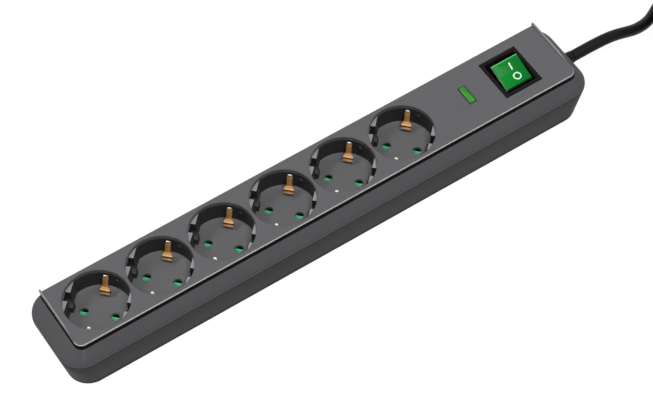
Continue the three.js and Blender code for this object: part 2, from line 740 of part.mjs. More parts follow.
// Screws from below into the bosses of the upper shell
function housingScrew(x, y) {
  const shank = toSolid(post(x, y, screwHeadBase, screwHeadBase + screwHeadHeight + screwLength,
    screwShank, 12));
  const head = toSolid(post(x, y, screwHeadBase, screwHeadBase + screwHeadHeight - seatGap, screwHead, 18));
  const cross = [0, Math.PI / 2].map((angle) => {
    return toSolid(turned(blockAt(x, y, screwHeadBase - 1, screwHeadBase + 1.1, 3.4, 0.8), angle, x, y));
  });
  return fromSolid(shank.add(head).subtract(joined(cross)));
}

function addHousingScrews() {
  let number = 1;
  for (const x of bossX) {
    for (const side of [-1, 1]) {
      addPart(`housing_screw_${number}`, housingScrew(x, side * bossRowY), 'steel');
      number += 1;
    }
  }
}

// Inner face of the end wall at a height, below and above the crease
function innerX(height) {
  const turn = creaseHeight - shellWall / 3;
  const share = (height - turn) / (shoulderTop - turn);
  const rim = panelLength / 2 + seatGap - skirtInset;
  const atTurn = bodyLength / 2 - shellWall;
  return share < 0 ? wallX(height) - shellWall : atTurn + (rim - atTurn) * share;
}

// Gland: flanged, tapered sleeve in the end wall
function cordGland() {
  const edges = [cordHeight - glandFlange, cordHeight + glandFlange];
  const inner = Math.min(...edges.map(innerX)) - 2 * seatGap;
  const flange = toSolid(rod(inner - glandFlangeLength, inner, 0, cordHeight, glandFlange, 20));
  const sleeve = toSolid(rod(glandStart, glandEnd, 0, cordHeight, glandThick, 20, glandThin));
  return fromSolid(flange.add(sleeve));
}

// Clamp: a saddle plate over the lead with two screws
function cordClamp() {
  const z = cordHeight;
  const plate = toSolid(blockAt(clampX, 0, z - clampThickness / 2, z + cordDiameter / 2 + 2,
    clampWidth, 2 * clampReach + 2 * bossRadius));
  const channel = toSolid(rod(clampX - clampWidth, clampX + clampWidth, 0, z,
    cordDiameter / 2 + seatGap, 20));
  const under = toSolid(blockAt(clampX, 0, z - clampThickness, z, clampWidth + 1,
    cordDiameter + 2 * seatGap));
  const cuts = [channel, under];
  for (const side of [-1, 1]) {
    const y = side * clampReach;
    cuts.push(toSolid(post(clampX, y, z - clampThickness, z + cordDiameter, screwShank + runGap)));
    cuts.push(toSolid(blockAt(clampX, side * (clampReach + 1), z + clampThickness / 2, z + cordDiameter,
      clampWidth + 1, 2 * bossRadius + 2)));
  }
  return fromSolid(plate.subtract(joined(cuts)));
}

function clampScrew(side) {
  const top = cordHeight + clampThickness / 2;
  const head = toSolid(post(clampX, side * clampReach, top + seatGap, top + seatGap + screwHeadHeight,
    screwHead, 18));
  const shank = toSolid(post(clampX, side * clampReach, top - 10.5, top + 1, screwShank, 12));
  return fromSolid(head.add(shank));
}

// The lead's sheath between the gland and the inner wires
function innerSheath() {
  return rod(glandStart - seatGap - sheathLength, glandStart - seatGap, 0, cordHeight, cordDiameter / 2, 16);
}

// Inner wires. Line runs through the switch, and all three end at their bars
function addLeads() {
  const startX = glandStart - sheathLength - 2 * seatGap;
  const reach = pinOffset * Math.cos(pinLineAngle);
  const barZ = barHeight + barThickness / 2;
  const terminalZ = bodyHeight - switchPitDepth - switchFloor - terminalHeight / 2 - seatGap;
  const inGap = terminalSpread + stripMetal / 2 + seatGap;
  const low = shellFloor + leadDiameter / 2 + 2.6;
  const high = boardHeight - leadDiameter / 2 - 1.2;
  const lineEnd = lastSocketX + reach + tulipLength / 2 + seatGap;
  const neutralEnd = lineEnd - 2 * reach;
  const earthEnd = lastSocketX + earthBarReach + seatGap;
  const earthZ = clipBaseHeight - seatGap - barThickness / 2;
  const routes = {
    lead_line: ['brownWire', [[startX, -2.1, cordHeight - 1.2], [startX - 3, -2.1, cordHeight - 1.2],
      [switchX + inGap, -1.2, terminalZ]]],
    lead_switched: ['brownWire', [
      [switchX - inGap, -1.2, terminalZ], [switchX - inGap - 3, -1.6, terminalZ - 0.4],
      [boardX + 24, -4.4, 12], [boardX + 18, -6, low + 1],
      [boardX + 10, -reach, low], [boardX - 10, -reach, low],
      [lineEnd + 8, -reach, barZ], [lineEnd, -reach, barZ]]],
    lead_neutral: ['blueWire', [[startX, 2.1, cordHeight - 1.2], [startX - 2.5, 2.2, cordHeight - 1.2],
      [startX - 6, 5.2, cordHeight - leadTurnDown], [startX - 11, 6.4, 10.6],
      [startX - 17, reach, low + 1], [startX - 24, reach, low],
      [boardX, reach, low], [neutralEnd + 8, reach, barZ], [neutralEnd, reach, barZ]]],
    lead_earth: ['earthWire', [[startX, 0, cordHeight + 1.7], [startX - 2.5, 0.2, cordHeight + 1.7],
      [startX - 6, 6.2, cordHeight - leadBelow], [startX - 9, 9.2, cordHeight - leadTurnDown],
      [startX - 14, 8.6, 13], [startX - 21, 4, high], [startX - 28, 0, high],
      [boardX, 0, high], [boardX - 19, 0, high], [earthEnd + 5, 0, earthZ - 1.6], [earthEnd, 0, earthZ]]],
  };
  for (const [name, [look, points]] of Object.entries(routes)) {
    const path = points.map(([px, py, pz]) => new THREE.Vector3(px, py, pz));
    addPart(name, roundTube(path, leadDiameter / 2, 6, 3 * points.length), look);
  }
}

// Free lead: straight out of the gland, down to the surface and along it to the coil
function runLine() {
  const join = coilPoint(0);
  const from = [glandEnd + seatGap, 0, cordHeight];
  const to = [join.x - routeEnd[0], join.y - routeEnd[1], coilLow];
  const first = leadRoute[0];
  const last = leadRoute.at(-1);
  const points = leadRoute.map((spot) => {
    const place = spot.map((value, k) => THREE.MathUtils.mapLinear(value, first[k], last[k], from[k], to[k]));
    return new THREE.Vector3(...place);
  });
  return new THREE.CatmullRomCurve3(points, false, 'centripetal');
}

function cordRun() {
  return tubeAlong(runLine(), cordDiameter / 2, 10, 20);
}

// The coil's middle line: layers that spiral in and out by turns, with a climb between two layers
function coilPoint(turn) {
  const layer = Math.min(Math.floor(turn / layerTurns), coilLayers - 1);
  const share = turn / layerTurns - layer;
  const radius = coilOuter - coilSpan * (layer % 2 === 0 ? share : 1 - share);
  let height = coilLow;
  for (let k = 1; k < coilLayers; k += 1) {
    const climb = THREE.MathUtils.smoothstep(turn, k * layerTurns - coilClimb, k * layerTurns + coilClimb);
    height += coilPitch * climb;
  }
  const angle = coilJoin - turn * Math.PI * 2;
  return new THREE.Vector3(coilX + radius * Math.cos(angle), coilY + radius * Math.sin(angle), height);
}

// From the plug's frame, centred on the coil and with the plug pointing along +X, to the part's
function fromPlugFrame(x, y, z) {
  return new THREE.Vector3(x, y, z).applyAxisAngle(new THREE.Vector3(0, 0, 1), plugHeading)
    .add(new THREE.Vector3(coilX, coilY, 0));
}

// The tail: half a turn over the top of the coil and up into the plug
function tailPoint(along) {
  const arc = Math.min(Math.max(along - tailStraight, 0) / coilInner, Math.PI);
  const before = Math.min(along, tailStraight);
  const after = Math.max(along - tailStraight - Math.PI * coilInner, 0);
  const x = -before - coilInner * Math.sin(arc) + after;
  const y = -coilInner * Math.cos(arc);
  return fromPlugFrame(x, y, tailHeight(along));
}

function tailHeight(along) {
  const full = tailStraight + Math.PI * coilInner;
  const first = coilPitch * THREE.MathUtils.smoothstep(along, ...tailClimb);
  const rest = plugBase + plugNeckHeight - coilTop + cordDiameter / 2 - coilPitch;
  return coilTop - cordDiameter / 2 + first + rest * THREE.MathUtils.smoothstep(along, tailClimb[1], full);
}

function coilLine() {
  const join = coilPoint(0);
  const points = [new THREE.Vector3(join.x - 6.41, join.y - 3.7, coilLow)];
  const count = Math.floor(coilTurns * coilSteps);
  const turnLength = 2 * Math.PI * coilInner;
  for (let i = 0; i <= count; i += 1) {
    const turn = i / coilSteps;
    const point = coilPoint(turn);
    if (turn > coilTurns - 0.5) point.z = tailHeight((turn - coilTurns) * turnLength);
    points.push(point);
  }
  const full = tailStraight + Math.PI * coilInner + tailEnd;
  const steps = 15;
  for (let i = 0; i <= steps; i += 1) points.push(tailPoint(full * i / steps));
  return points;
}

// Least distance from one stretch of a line to any stretch more than a third of a turn away
function leastGap(points) {
  const apart = Math.round(coilSteps / 3);
  let least = Infinity;
  for (let i = 0; i + 1 < points.length; i += 1) {
    const one = new THREE.Line3(points[i], points[i + 1]);
    for (let j = i + apart; j + 1 < points.length; j += 1) {
      for (let k = 0; k <= 4; k += 1) {
        const spot = points[j].clone().lerp(points[j + 1], k / 4);
        const near = one.closestPointToPoint(spot, true, new THREE.Vector3());
        least = Math.min(least, near.distanceTo(spot));
      }
    }
  }
  return least - cordDiameter;
}

// A tube of flat-sided rings along a nearly level line, its sides upright
function coilTube(points) {
  const rings = points.map((point, i) => {
    const before = points[Math.max(i - 1, 0)];
    const after = points[Math.min(i + 1, points.length - 1)];
    const along = after.clone().sub(before).normalize();
    const side = new THREE.Vector3(along.y, -along.x, 0).normalize();
    const up = new THREE.Vector3().crossVectors(side, along);
    return Array.from({ length: coilSides }, (_, k) => {
      const angle = k * Math.PI * 2 / coilSides;
      const spot = point.clone().addScaledVector(side, -Math.cos(angle) * cordDiameter / 2);
      return spot.addScaledVector(up, Math.sin(angle) * cordDiameter / 2).toArray();
    });
  });
  return stackedRings(rings);
}

// Tie: a flat band round the coil's turns
function coilTie() {
  const inner = coilInner - cordDiameter / 2 - tieGap;
  const outer = coilOuter + cordDiameter / 2 + tieGap;
  const low = coilLow - cordDiameter / 2 - tieGap;
  const high = coilTop + tieGap;
  const t = tieThickness;
  const band = toSolid(block(inner - t, outer + t, -tieWidth / 2, tieWidth / 2, low - t, high + t));
  const hole = toSolid(block(inner, outer, -tieWidth, tieWidth, low, high));
  return fromSolid(band.subtract(hole)).rotateZ(tieAngle).translate(coilCentre.x, coilCentre.y, 0);
}

// Plug lying on the coil, its face up: round body, tapered neck, two pins, earth strips
function placePlug(geometry) {
  const middle = fromPlugFrame(tailEnd + seatGap - tailStraight + plugNeck + plugRadius - 3, coilInner,
    plugBase);
  return geometry.rotateZ(plugHeading).translate(middle.x, middle.y, middle.z);
}

function plugBody() {
  const profile = [
    [0, 0], [plugRadius - plugCorner, 0], [plugRadius, plugCorner], [plugRadius, plugHeight - 1.5],
    [plugRadius - 1.5, plugHeight], [0, plugHeight],
  ].map(([r, z]) => new THREE.Vector2(r, z));
  const body = new THREE.LatheGeometry(profile, 36).rotateX(Math.PI / 2);
  const neckEnd = -plugRadius + 6;
  const neck = rod(3 - plugRadius - plugNeck, neckEnd, 0, plugNeckHeight, plugNeckThin, 16, plugNeckThick);
  const cuts = [-1, 1].map((side) => {
    const depth = plugGrooveDepth;
    return toSolid(blockAt(0, side * plugRadius, 6, plugHeight + 1, plugEarthWidth, 2 * depth));
  });
  return placePlug(fromSolid(toSolid(body).add(toSolid(neck)).subtract(joined(cuts))));
}

function plugPin(side) {
  const low = plugHeight + seatGap;
  const tipStart = low + plugPinLength - 1.7;
  const x = side * pinSpacing / 2;
  const shaft = toSolid(post(x, 0, low, tipStart + 0.1, plugPinRadius));
  const tip = toSolid(post(x, 0, tipStart, low + plugPinLength, plugPinRadius, 16, plugPinRadius - 1));
  return placePlug(fromSolid(shaft.add(tip)));
}

function plugEarth(side) {
  const y = side * (plugRadius - plugGrooveDepth + seatGap + plugEarthThickness / 2);
  const width = plugEarthWidth - 2 * seatGap;
  return placePlug(blockAt(0, y, 6 + seatGap, plugHeight - 1, width, plugEarthThickness));
}

function addPlug() {
  addPart('plug_body', plugBody(), 'cord');
  addPart('plug_pin_1', plugPin(-1), 'brass');
  addPart('plug_pin_2', plugPin(1), 'brass');
  addPart('plug_earth_1', plugEarth(-1), 'steel');
  addPart('plug_earth_2', plugEarth(1), 'steel');
}

addPart('top_shell', topShell(), 'panel');
addPart('bottom_shell', bottomShell(), 'body');
addPart('contact_carrier', contactCarrier(), 'ivory');
addPart('neutral_bar', contactBar(-1), 'brass');
addPart('line_bar', contactBar(1), 'brass');
addPart('earth_bar', earthBar(), 'copper');
socketX.forEach((x, i) => {
  addPart(`earth_clip_${i + 1}`, earthClip(x), 'copper');
  addPart(`shutter_${i + 1}`, shutter(x), 'green');
  addPart(`shutter_spring_${i + 1}`, shutterSpring(x), 'steel');
});
addPart('switch_housing', switchHousing(), 'black');
addPart('rocker', rocker(), 'green');
addPart('switch_lever', switchLever(), 'copper');
addPart('switch_terminal_1', switchTerminal(-1), 'brass');
addPart('switch_terminal_2', switchTerminal(1), 'brass');
addPart('indicator_lens', indicatorLens(), 'clearGreen');
addBoardParts();
addHousingScrews();
addPart('cord_gland', cordGland(), 'cord');
addPart('cord_clamp', cordClamp(), 'ivory');
addPart('clamp_screw_1', clampScrew(-1), 'steel');
addPart('clamp_screw_2', clampScrew(1), 'steel');
addPart('inner_sheath', innerSheath(), 'cord');
addLeads();
addPart('cord_run', cordRun(), 'cord');
const coil = coilLine();
addPart('cord_coil', coilTube(coil), 'cord');
addPart('coil_tie', coilTie(), 'cord');
addPlug();

const runLength = runLine().getLength();
const coilLength = coil.slice(1).reduce((sum, point, i) => sum + point.distanceTo(coil[i]), 0);
console.log(`coil: least gap ${leastGap(coil).toFixed(2)} mm, length ${coilLength.toFixed(0)} mm`);
console.log(`lead: ${(coilLength + runLength).toFixed(0)} mm from the gland to the plug`);

export default strip;
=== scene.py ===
# Six-way power strip: grey housing, round sockets, green rocker switch, black lead with a plug.
# All sizes in the dictionaries are millimetres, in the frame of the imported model.
import math

import bpy
from mathutils import Matrix, Vector


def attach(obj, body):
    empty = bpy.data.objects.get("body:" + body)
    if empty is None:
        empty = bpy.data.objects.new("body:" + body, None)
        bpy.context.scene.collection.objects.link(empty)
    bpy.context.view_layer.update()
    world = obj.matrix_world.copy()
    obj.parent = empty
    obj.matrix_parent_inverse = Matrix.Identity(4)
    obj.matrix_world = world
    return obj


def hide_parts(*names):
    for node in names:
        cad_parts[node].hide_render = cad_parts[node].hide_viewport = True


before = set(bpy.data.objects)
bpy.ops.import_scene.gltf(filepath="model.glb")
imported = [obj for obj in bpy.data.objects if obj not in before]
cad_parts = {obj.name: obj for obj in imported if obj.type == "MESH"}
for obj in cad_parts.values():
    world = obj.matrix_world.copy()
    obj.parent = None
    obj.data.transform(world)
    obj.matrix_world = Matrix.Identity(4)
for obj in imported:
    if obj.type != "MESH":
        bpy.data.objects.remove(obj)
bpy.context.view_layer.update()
scene = bpy.context.scene
mm = 0.001

# Camera: where it stands, and the directions of the picture's right, its foot and its depth
camera = dict(
    place=(-407.504, -695.931, 1208.240),
    right=(0.83888, -0.54371, -0.02579),
    down=(-0.46251, -0.68702, -0.56043),
    ahead=(0.28700, 0.48206, -0.82780),
    lens=130.67,
)


def addObject(name, data):
    obj = bpy.data.objects.new(name, data)
    scene.collection.objects.link(obj)
    return obj


def addCamera():
    data = bpy.data.cameras.new("Camera")
    data.lens = camera["lens"]
    data.sensor_width = 36
    data.clip_start, data.clip_end = 0.05, 30
    obj = addObject("Camera", data)
    right, down, ahead = (Vector(camera[key]).normalized() for key in ("right", "down", "ahead"))
    turn = Matrix((right, -down, -ahead)).transposed().to_4x4()
    obj.matrix_world = Matrix.Translation(Vector(camera["place"]) * mm) @ turn
    scene.camera = obj


addCamera()


# Small helpers for modelling
def read(sizes, names):
    return [sizes[name] for name in names.split()]


def deselectAll():
    if bpy.context.mode != "OBJECT":
        bpy.ops.object.mode_set(mode="OBJECT")
    bpy.ops.object.select_all(action="DESELECT")


def makeActive(obj):
    deselectAll()
    obj.select_set(True)
    bpy.context.view_layer.objects.active = obj


def settle(obj, name=None):
    # puts the object's place, turn and size into its mesh
    makeActive(obj)
    bpy.ops.object.transform_apply(location=True, rotation=True, scale=True)
    if name:
        obj.name = name
        obj.data.name = name
    return obj


def addBlock(name, low, high):
    deselectAll()
    centre = [(a + b) / 2 * mm for a, b in zip(low, high)]
    bpy.ops.mesh.primitive_cube_add(size=1, location=centre)
    obj = bpy.context.object
    obj.scale = [(b - a) * mm for a, b in zip(low, high)]
    return settle(obj, name)


def addBox(name, x, y, halfX, halfY, low, high):
    # a block given by its middle and half sizes
    return addBlock(name, (x - halfX, y - halfY, low), (x + halfX, y + halfY, high))


def addCone(name, middle, depth, sides, radius, endRadius, turn=(0, 0, 0)):
    deselectAll()
    bpy.ops.mesh.primitive_cone_add(
        vertices=sides, radius1=radius * mm, radius2=(radius if endRadius is None else endRadius) * mm,
        depth=depth * mm, location=[value * mm for value in middle], rotation=turn)
    return settle(bpy.context.object, name)


def addDrum(name, x, y, low, high, radius, sides=64, topRadius=None):
    return addCone(name, (x, y, (low + high) / 2), high - low, sides, radius, topRadius)


def addRod(name, start, end, y, z, radius, sides=48, endRadius=None):
    alongX = (0, math.pi / 2, 0)
    return addCone(name, ((start + end) / 2, y, z), end - start, sides, radius, endRadius, alongX)


def spinAbout(obj, degrees, axis, place):
    # turns a finished mesh about a line through a place
    there = Matrix.Translation([value * mm for value in place])
    obj.matrix_world = there @ Matrix.Rotation(math.radians(degrees), 4, axis) @ there.inverted()
    return settle(obj)


def turnAbout(obj, degrees, x=0, y=0):
    return spinAbout(obj, degrees, "Z", (x, y, 0))


def tipAbout(obj, degrees, y, z):
    return spinAbout(obj, degrees, "X", (0, y, z))


def useModifier(obj, kind, **settings):
    makeActive(obj)
    modifier = obj.modifiers.new(kind.title(), kind)
    for key, value in settings.items():
        setattr(modifier, key, value)
    bpy.ops.object.modifier_apply(modifier=modifier.name)
    return obj


def openEdit(obj, kind, action="SELECT"):
    # edit mode with all or nothing selected
    makeActive(obj)
    bpy.ops.object.mode_set(mode="EDIT")
    bpy.ops.mesh.select_mode(type=kind)
    bpy.ops.mesh.select_all(action=action)


def leaveEdit():
    bpy.ops.object.mode_set(mode="OBJECT")


def combine(obj, tools, operation):
    # doubles are merged after each step, or the next cut can fail
    for tool in tools:
        useModifier(obj, "BOOLEAN", operation=operation, solver="EXACT", object=tool)
        bpy.data.objects.remove(tool)
        openEdit(obj, "VERT")
        bpy.ops.mesh.remove_doubles(threshold=0.005 * mm)
        leaveEdit()
    return obj


def cutAway(obj, *tools):
    return combine(obj, tools, "DIFFERENCE")


def weld(obj, *tools):
    return combine(obj, tools, "UNION")


def joinUp(name, *parts):
    # several meshes in one object, none of them cut
    makeActive(parts[0])
    for part in parts[1:]:
        part.select_set(True)
    bpy.ops.object.join()
    return settle(bpy.context.object, name)


def pick(obj, kind, items, test):
    # leaves edit mode open with the items that pass the test
    openEdit(obj, kind, "DESELECT")
    leaveEdit()
    for item in getattr(obj.data, items):
        item.select = bool(test(item))
    bpy.ops.object.mode_set(mode="EDIT")


def pickEdges(obj, test):
    # the test gets an edge's two ends, in mm
    points = [v.co / mm for v in obj.data.vertices]
    pick(obj, "EDGE", "edges", lambda edge: test(*(points[end] for end in edge.vertices)))


def pickFaces(obj, test):
    # the test gets a face's middle, in mm, and its normal
    pick(obj, "FACE", "polygons", lambda face: test(face.center / mm, face.normal))


def both(test):
    # edges whose two ends pass a test
    return lambda a, b: test(a) and test(b)


def above(level):
    return both(lambda p: p.z > level - 0.01)


def below(level):
    return both(lambda p: p.z < level + 0.01)


def upright(least=1):
    # edges that rise by more than this
    return lambda a, b: abs(a.z - b.z) > least


def moveEdges(obj, test, shift):
    pickEdges(obj, test)
    bpy.ops.transform.translate(value=[step * mm for step in shift])
    leaveEdit()


def resizeEnd(obj, x, y, end=1):
    # widens or narrows the top, or with -1 the underside
    pickFaces(obj, lambda centre, normal: normal.z * end > 0.9)
    bpy.ops.transform.resize(value=(x, y, 1))
    leaveEdit()


def faceOutwards(obj):
    openEdit(obj, "FACE")
    bpy.ops.mesh.normals_make_consistent(inside=False)
    leaveEdit()


def roundEdges(obj, test, width, segments=3):
    pickEdges(obj, test)
    bpy.ops.mesh.bevel(offset=width * mm, segments=segments, affect="EDGES")
    leaveEdit()
    return obj


def softenAll(obj, width, segments=2, angle=30):
    return useModifier(obj, "BEVEL", width=width * mm, segments=segments, limit_method="ANGLE",
                       angle_limit=math.radians(angle))


def smooth(obj, angle=35):
    makeActive(obj)
    bpy.ops.object.shade_smooth_by_angle(angle=math.radians(angle))
    return obj


def copyOf(obj, name, alongX):
    twin = addObject(name, obj.data.copy())
    twin.data.name = name
    twin.data.transform(Matrix.Translation((alongX * mm, 0, 0)))
    return twin


# Finishes
def operator(operation, reflected=False):
    # a sign between two values adds the Math node that works it out
    def apply(value, other):
        return value.finish.maths(operation, *((other, value) if reflected else (value, other)))
    return apply


class Value:
    # a node's output that can be used in sums
    def __init__(self, finish, socket):
        self.finish = finish
        self.socket = socket

    __add__, __radd__ = operator("ADD"), operator("ADD", True)
    __sub__, __rsub__ = operator("SUBTRACT"), operator("SUBTRACT", True)
    __mul__, __rmul__ = operator("MULTIPLY"), operator("MULTIPLY", True)
    __gt__, __lt__ = operator("GREATER_THAN"), operator("LESS_THAN")


class Finish:
    # the nodes of a new material, or of the owner that is given
    def __init__(self, name, owner=None):
        self.owner = owner or bpy.data.materials.new(name)
        self.owner.use_nodes = True
        self.tree = self.owner.node_tree
        self.tree.nodes.clear()

    def add(self, kind, settings=None, inputs=None, output=0):
        node = self.tree.nodes.new(kind)
        for key, value in (settings or {}).items():
            if key == "stops":
                elements = node.color_ramp.elements
                while len(elements) < len(value):
                    elements.new(0.5)
                for element, (place, colour) in zip(elements, value):
                    element.position = place
                    element.color = (*colour, 1)
            else:
                setattr(node, key, value)
        for key, value in (inputs or {}).items():
            if isinstance(value, Value):
                self.tree.links.new(value.socket, node.inputs[key])
            else:
                node.inputs[key].default_value = value
        return Value(self, node.outputs[output]) if len(node.outputs) else node

    def maths(self, operation, *values):
        return self.add("ShaderNodeMath", {"operation": operation}, dict(enumerate(values)))

    def place(self):
        return self.add("ShaderNodeTexCoord", output="Object")

    def axis(self, letter):
        # the coordinate along X, Y or Z, in mm
        return self.add("ShaderNodeSeparateXYZ", inputs={0: self.place()}, output=letter) * 1000

    def within(self, value, low, high):
        return (value > low) * (value < high)

    def distance(self, letter, place):
        # how far from a place along X, Y or Z, in mm
        return self.maths("ABSOLUTE", self.axis(letter) - place)

    def noise(self, size, detail=2, roughness=0.5, stretch=(1, 1, 1)):
        # size is that of one blotch, in mm
        where = self.add("ShaderNodeMapping", inputs={"Vector": self.place(), "Scale": stretch})
        return self.add("ShaderNodeTexNoise", inputs={
            "Vector": where, "Scale": 1000 / size, "Detail": detail, "Roughness": roughness})

    def band(self, value, low, high, kind="SMOOTHSTEP"):
        # rises from 0 at low to 1 at high
        return self.add("ShaderNodeMapRange", {"interpolation_type": kind},
                        {"Value": value, "From Min": low, "From Max": high})

    def blend(self, factor, first, second):
        first = first if isinstance(first, Value) else (*first, 1)
        second = second if isinstance(second, Value) else (*second, 1)
        return self.add("ShaderNodeMix", {"data_type": "RGBA"}, {0: factor, 6: first, 7: second}, output=2)

    def bump(self, height, depth):
        return self.add("ShaderNodeBump", inputs={"Height": height, "Distance": depth * mm})

    def close(self, **inputs):
        return self.output(self.add("ShaderNodeBsdfPrincipled", inputs={
            key.replace("_", " "): value for key, value in inputs.items()}))

    def output(self, shader, kind="Material"):
        self.add(f"ShaderNodeOutput{kind}", inputs={"Surface": shader})
        return self.owner

    def seenDirectly(self):
        # 1 for what the camera sees, also in a reflection or through glass
        seen, *others = (self.add("ShaderNodeLightPath", output=f"Is {kind} Ray")
                         for kind in ("Camera", "Glossy", "Transmission"))
        for other in others:
            seen = self.maths("MAXIMUM", seen, other)
        return seen


def tone(colour, factor):
    return tuple(channel * factor for channel in colour)


# Moulded plastic: fine spark-eroded grain, faint cloudiness, a few lighter scuffs.
# The specular levels are low where the white surroundings would bleach a dark wall.
plastics = {
    "housingGrey": dict(colour=(0.097, 0.0955, 0.100), roughness=0.46, grain=0.32, depth=0.018, specular=0.3),
    "lowerGrey": dict(colour=(0.093, 0.0915, 0.097), roughness=0.6, grain=0.32, depth=0.018, specular=0.08),
    "switchBlack": dict(colour=(0.009, 0.007, 0.007), roughness=0.3, grain=0.25, depth=0.012, specular=0.07),
    "innerBlack": dict(colour=(0.014, 0.014, 0.015), roughness=0.6, grain=0.5, depth=0.015, specular=0.1),
    "innerIvory": dict(colour=(0.62, 0.57, 0.46), roughness=0.55, grain=0.5, depth=0.015),
    "shutterGreen": dict(colour=(0.03, 0.34, 0.14), roughness=0.25, grain=0.4, depth=0.008),
    "cordBlack": dict(colour=(0.006, 0.006, 0.007), roughness=0.4, grain=0.4, depth=0.012, specular=0.1),
    "boardGreen": dict(colour=(0.03, 0.14, 0.05), roughness=0.4, grain=0.9, depth=0.02),
    "varistorBlue": dict(colour=(0.02, 0.10, 0.36), roughness=0.35, grain=1.2, depth=0.03),
    "wireBrown": dict(colour=(0.14, 0.045, 0.02), roughness=0.4, grain=0.5, depth=0.01),
    "wireBlue": dict(colour=(0.02, 0.07, 0.34), roughness=0.4, grain=0.5, depth=0.01),
    "lampMilk": dict(colour=(0.62, 0.75, 0.58), roughness=0.25, grain=0.8, depth=0.005),
}

# Painted light and shade on the socket panel, in mm: a painted highlight on its outer edge and lips, painted
# shade in the groove under it, on the wells' walls and round the indicator window, and a painted highlight on
# the wells' shelves
# near black, used below as painted shade
dark = (0.006, 0.006, 0.006)
panelTones = dict(
    outerX=175.1, outerY=21.4, edge=(0.5, 0.5, 0.51), edgeLow=40.3, edgeHigh=40.88, lip=(41.2, 42.2),
    lipHighlightShare=0.35, groove=40.15, window={"X": (110.85, 2.75), "Y": (0.75, 7.05)}, windowSoft=0.1,
    windowShadeShare=0.8, well=(24.7, 37.9), wellShadeTone=0.22, shelf=(37.95, 38.05), shelfHighlightTone=(0.27, 0.27, 0.28),
)


def panelLightAndShade(finish, colour):
    tones, z = panelTones, finish.axis("Z")
    outer = finish.maths("MAXIMUM", finish.distance("X", 0) > tones["outerX"],
                         finish.distance("Y", 0) > tones["outerY"])
    # painted highlight along the panel's rounded outer edge and, fainter, along the lips
    lip = finish.band(z, *tones["lip"]) * tones["lipHighlightShare"]
    edge = outer * (z > tones["edgeLow"]) * ((z < tones["edgeHigh"]) + lip)
    colour = finish.blend(edge, colour, tones["edge"])
    # painted shade in the groove under the panel's outer edge
    colour = finish.blend(outer * (z < tones["groove"]), colour, dark)
    # painted shade in the opening round the indicator window
    soft = tones["windowSoft"]
    across, along = (finish.band(finish.distance(letter, middle), half + soft, half - soft)
                     for letter, (middle, half) in tones["window"].items())
    colour = finish.blend(across * along * tones["windowShadeShare"], colour, dark)
    # painted shade on the wells' walls
    wall = tone(plastics["housingGrey"]["colour"], tones["wellShadeTone"])
    colour = finish.blend(finish.within(z, *tones["well"]) * (1 - outer), colour, wall)
    # painted highlight on the wells' shelves
    return finish.blend(finish.within(z, *tones["shelf"]) * (1 - outer), colour, tones["shelfHighlightTone"])


# painted shade: the shutters' lower faces, shaded by the panel over them, are painted dark
shutterShadeLevel = 21.2  # below this height the shutters are dark


def shutterShade(finish, colour):
    return finish.blend(finish.axis("Z") < shutterShadeLevel, colour, dark)


# Heights of the painted light and shade on the lower shell: painted shade on its foot, on its rim and on the
# lower wall, and a painted highlight along the crease
shellTones = dict(foot=3.8, rim=37.02, wall=(26, 28), wallShadeTone=0.6, crease=(26.65, 27.35), creaseHighlightShare=0.5,
                  creaseHighlightTone=(0.2, 0.2, 0.205))


def shellLightAndShade(finish, colour):
    tones, z = shellTones, finish.axis("Z")
    # painted shade: the lower wall below the crease is darker
    wall = tone(plastics["lowerGrey"]["colour"], tones["wallShadeTone"])
    colour = finish.blend(finish.band(z, *tones["wall"]), wall, colour)
    # painted highlight along the crease
    crease = finish.within(z, *tones["crease"]) * tones["creaseHighlightShare"]
    colour = finish.blend(crease, colour, tones["creaseHighlightTone"])
    # painted shade on the foot and on the rim under the panel's edge
    return finish.blend((z < tones["foot"]) + (z > tones["rim"]), colour, dark)


# painted light and shade, by finish
paintedLight = {"housingGrey": panelLightAndShade, "lowerGrey": shellLightAndShade, "shutterGreen": shutterShade}


def mouldedPlastic(name):
    look = plastics[name]
    finish = Finish(name)
    grain = finish.noise(look["grain"], 3, 0.6)
    cloud = finish.noise(38, 3, 0.55)
    scuff = finish.band(finish.noise(5.5, 6, 0.75, (1, 0.35, 1)), 0.66, 0.78)
    colour = finish.blend(cloud, tone(look["colour"], 0.93), tone(look["colour"], 1.07))
    colour = finish.blend(scuff * 0.25, colour, tone(look["colour"], 1.5))
    roughness = look["roughness"] - 0.05 + grain * 0.1 + scuff * 0.08
    if name in paintedLight:
        colour = paintedLight[name](finish, colour)
    return finish.close(Base_Color=colour, Roughness=roughness, Specular_IOR_Level=look.get("specular", 0.4),
                        Normal=finish.bump(grain, look["depth"]))


# Metal: fine rolling lines along one direction and a slow change of tone
metals = {
    "clipCopper": dict(colour=(0.94, 0.58, 0.27), dark=(0.55, 0.24, 0.09), roughness=0.16,
                       lines=(1, 1, 0.12)),
    "busBrass": dict(colour=(0.75, 0.52, 0.2), dark=(0.5, 0.3, 0.1), roughness=0.3, lines=(0.08, 1, 1)),
    "platedSteel": dict(colour=(0.62, 0.62, 0.6), dark=(0.4, 0.4, 0.4), roughness=0.26, lines=(1, 1, 0.1)),
    "clipGold": dict(dark=(0.5, 0.22, 0.08), roughness=0.16, lines=(1, 1, 0.12), patch=2.2, patchLow=0.5,
                     worn=0.3, metallic=0.6),
}


def rolledMetal(name, tones=None):
    look, finish = metals[name], Finish(name)
    lines = finish.noise(0.35, 4, 0.65, look["lines"])
    patches = finish.band(finish.noise(look.get("patch", 3.0), 3, 0.5), look.get("patchLow", 0.45), 0.75)
    colour = finish.blend(patches * look.get("worn", 0.45), tones(finish) if tones else look["colour"],
                          look["dark"])
    return finish.close(Base_Color=colour, Roughness=look["roughness"] + lines * 0.12 + patches * 0.1,
                        Metallic=look.get("metallic", 1.0), Normal=finish.bump(lines, 0.006))


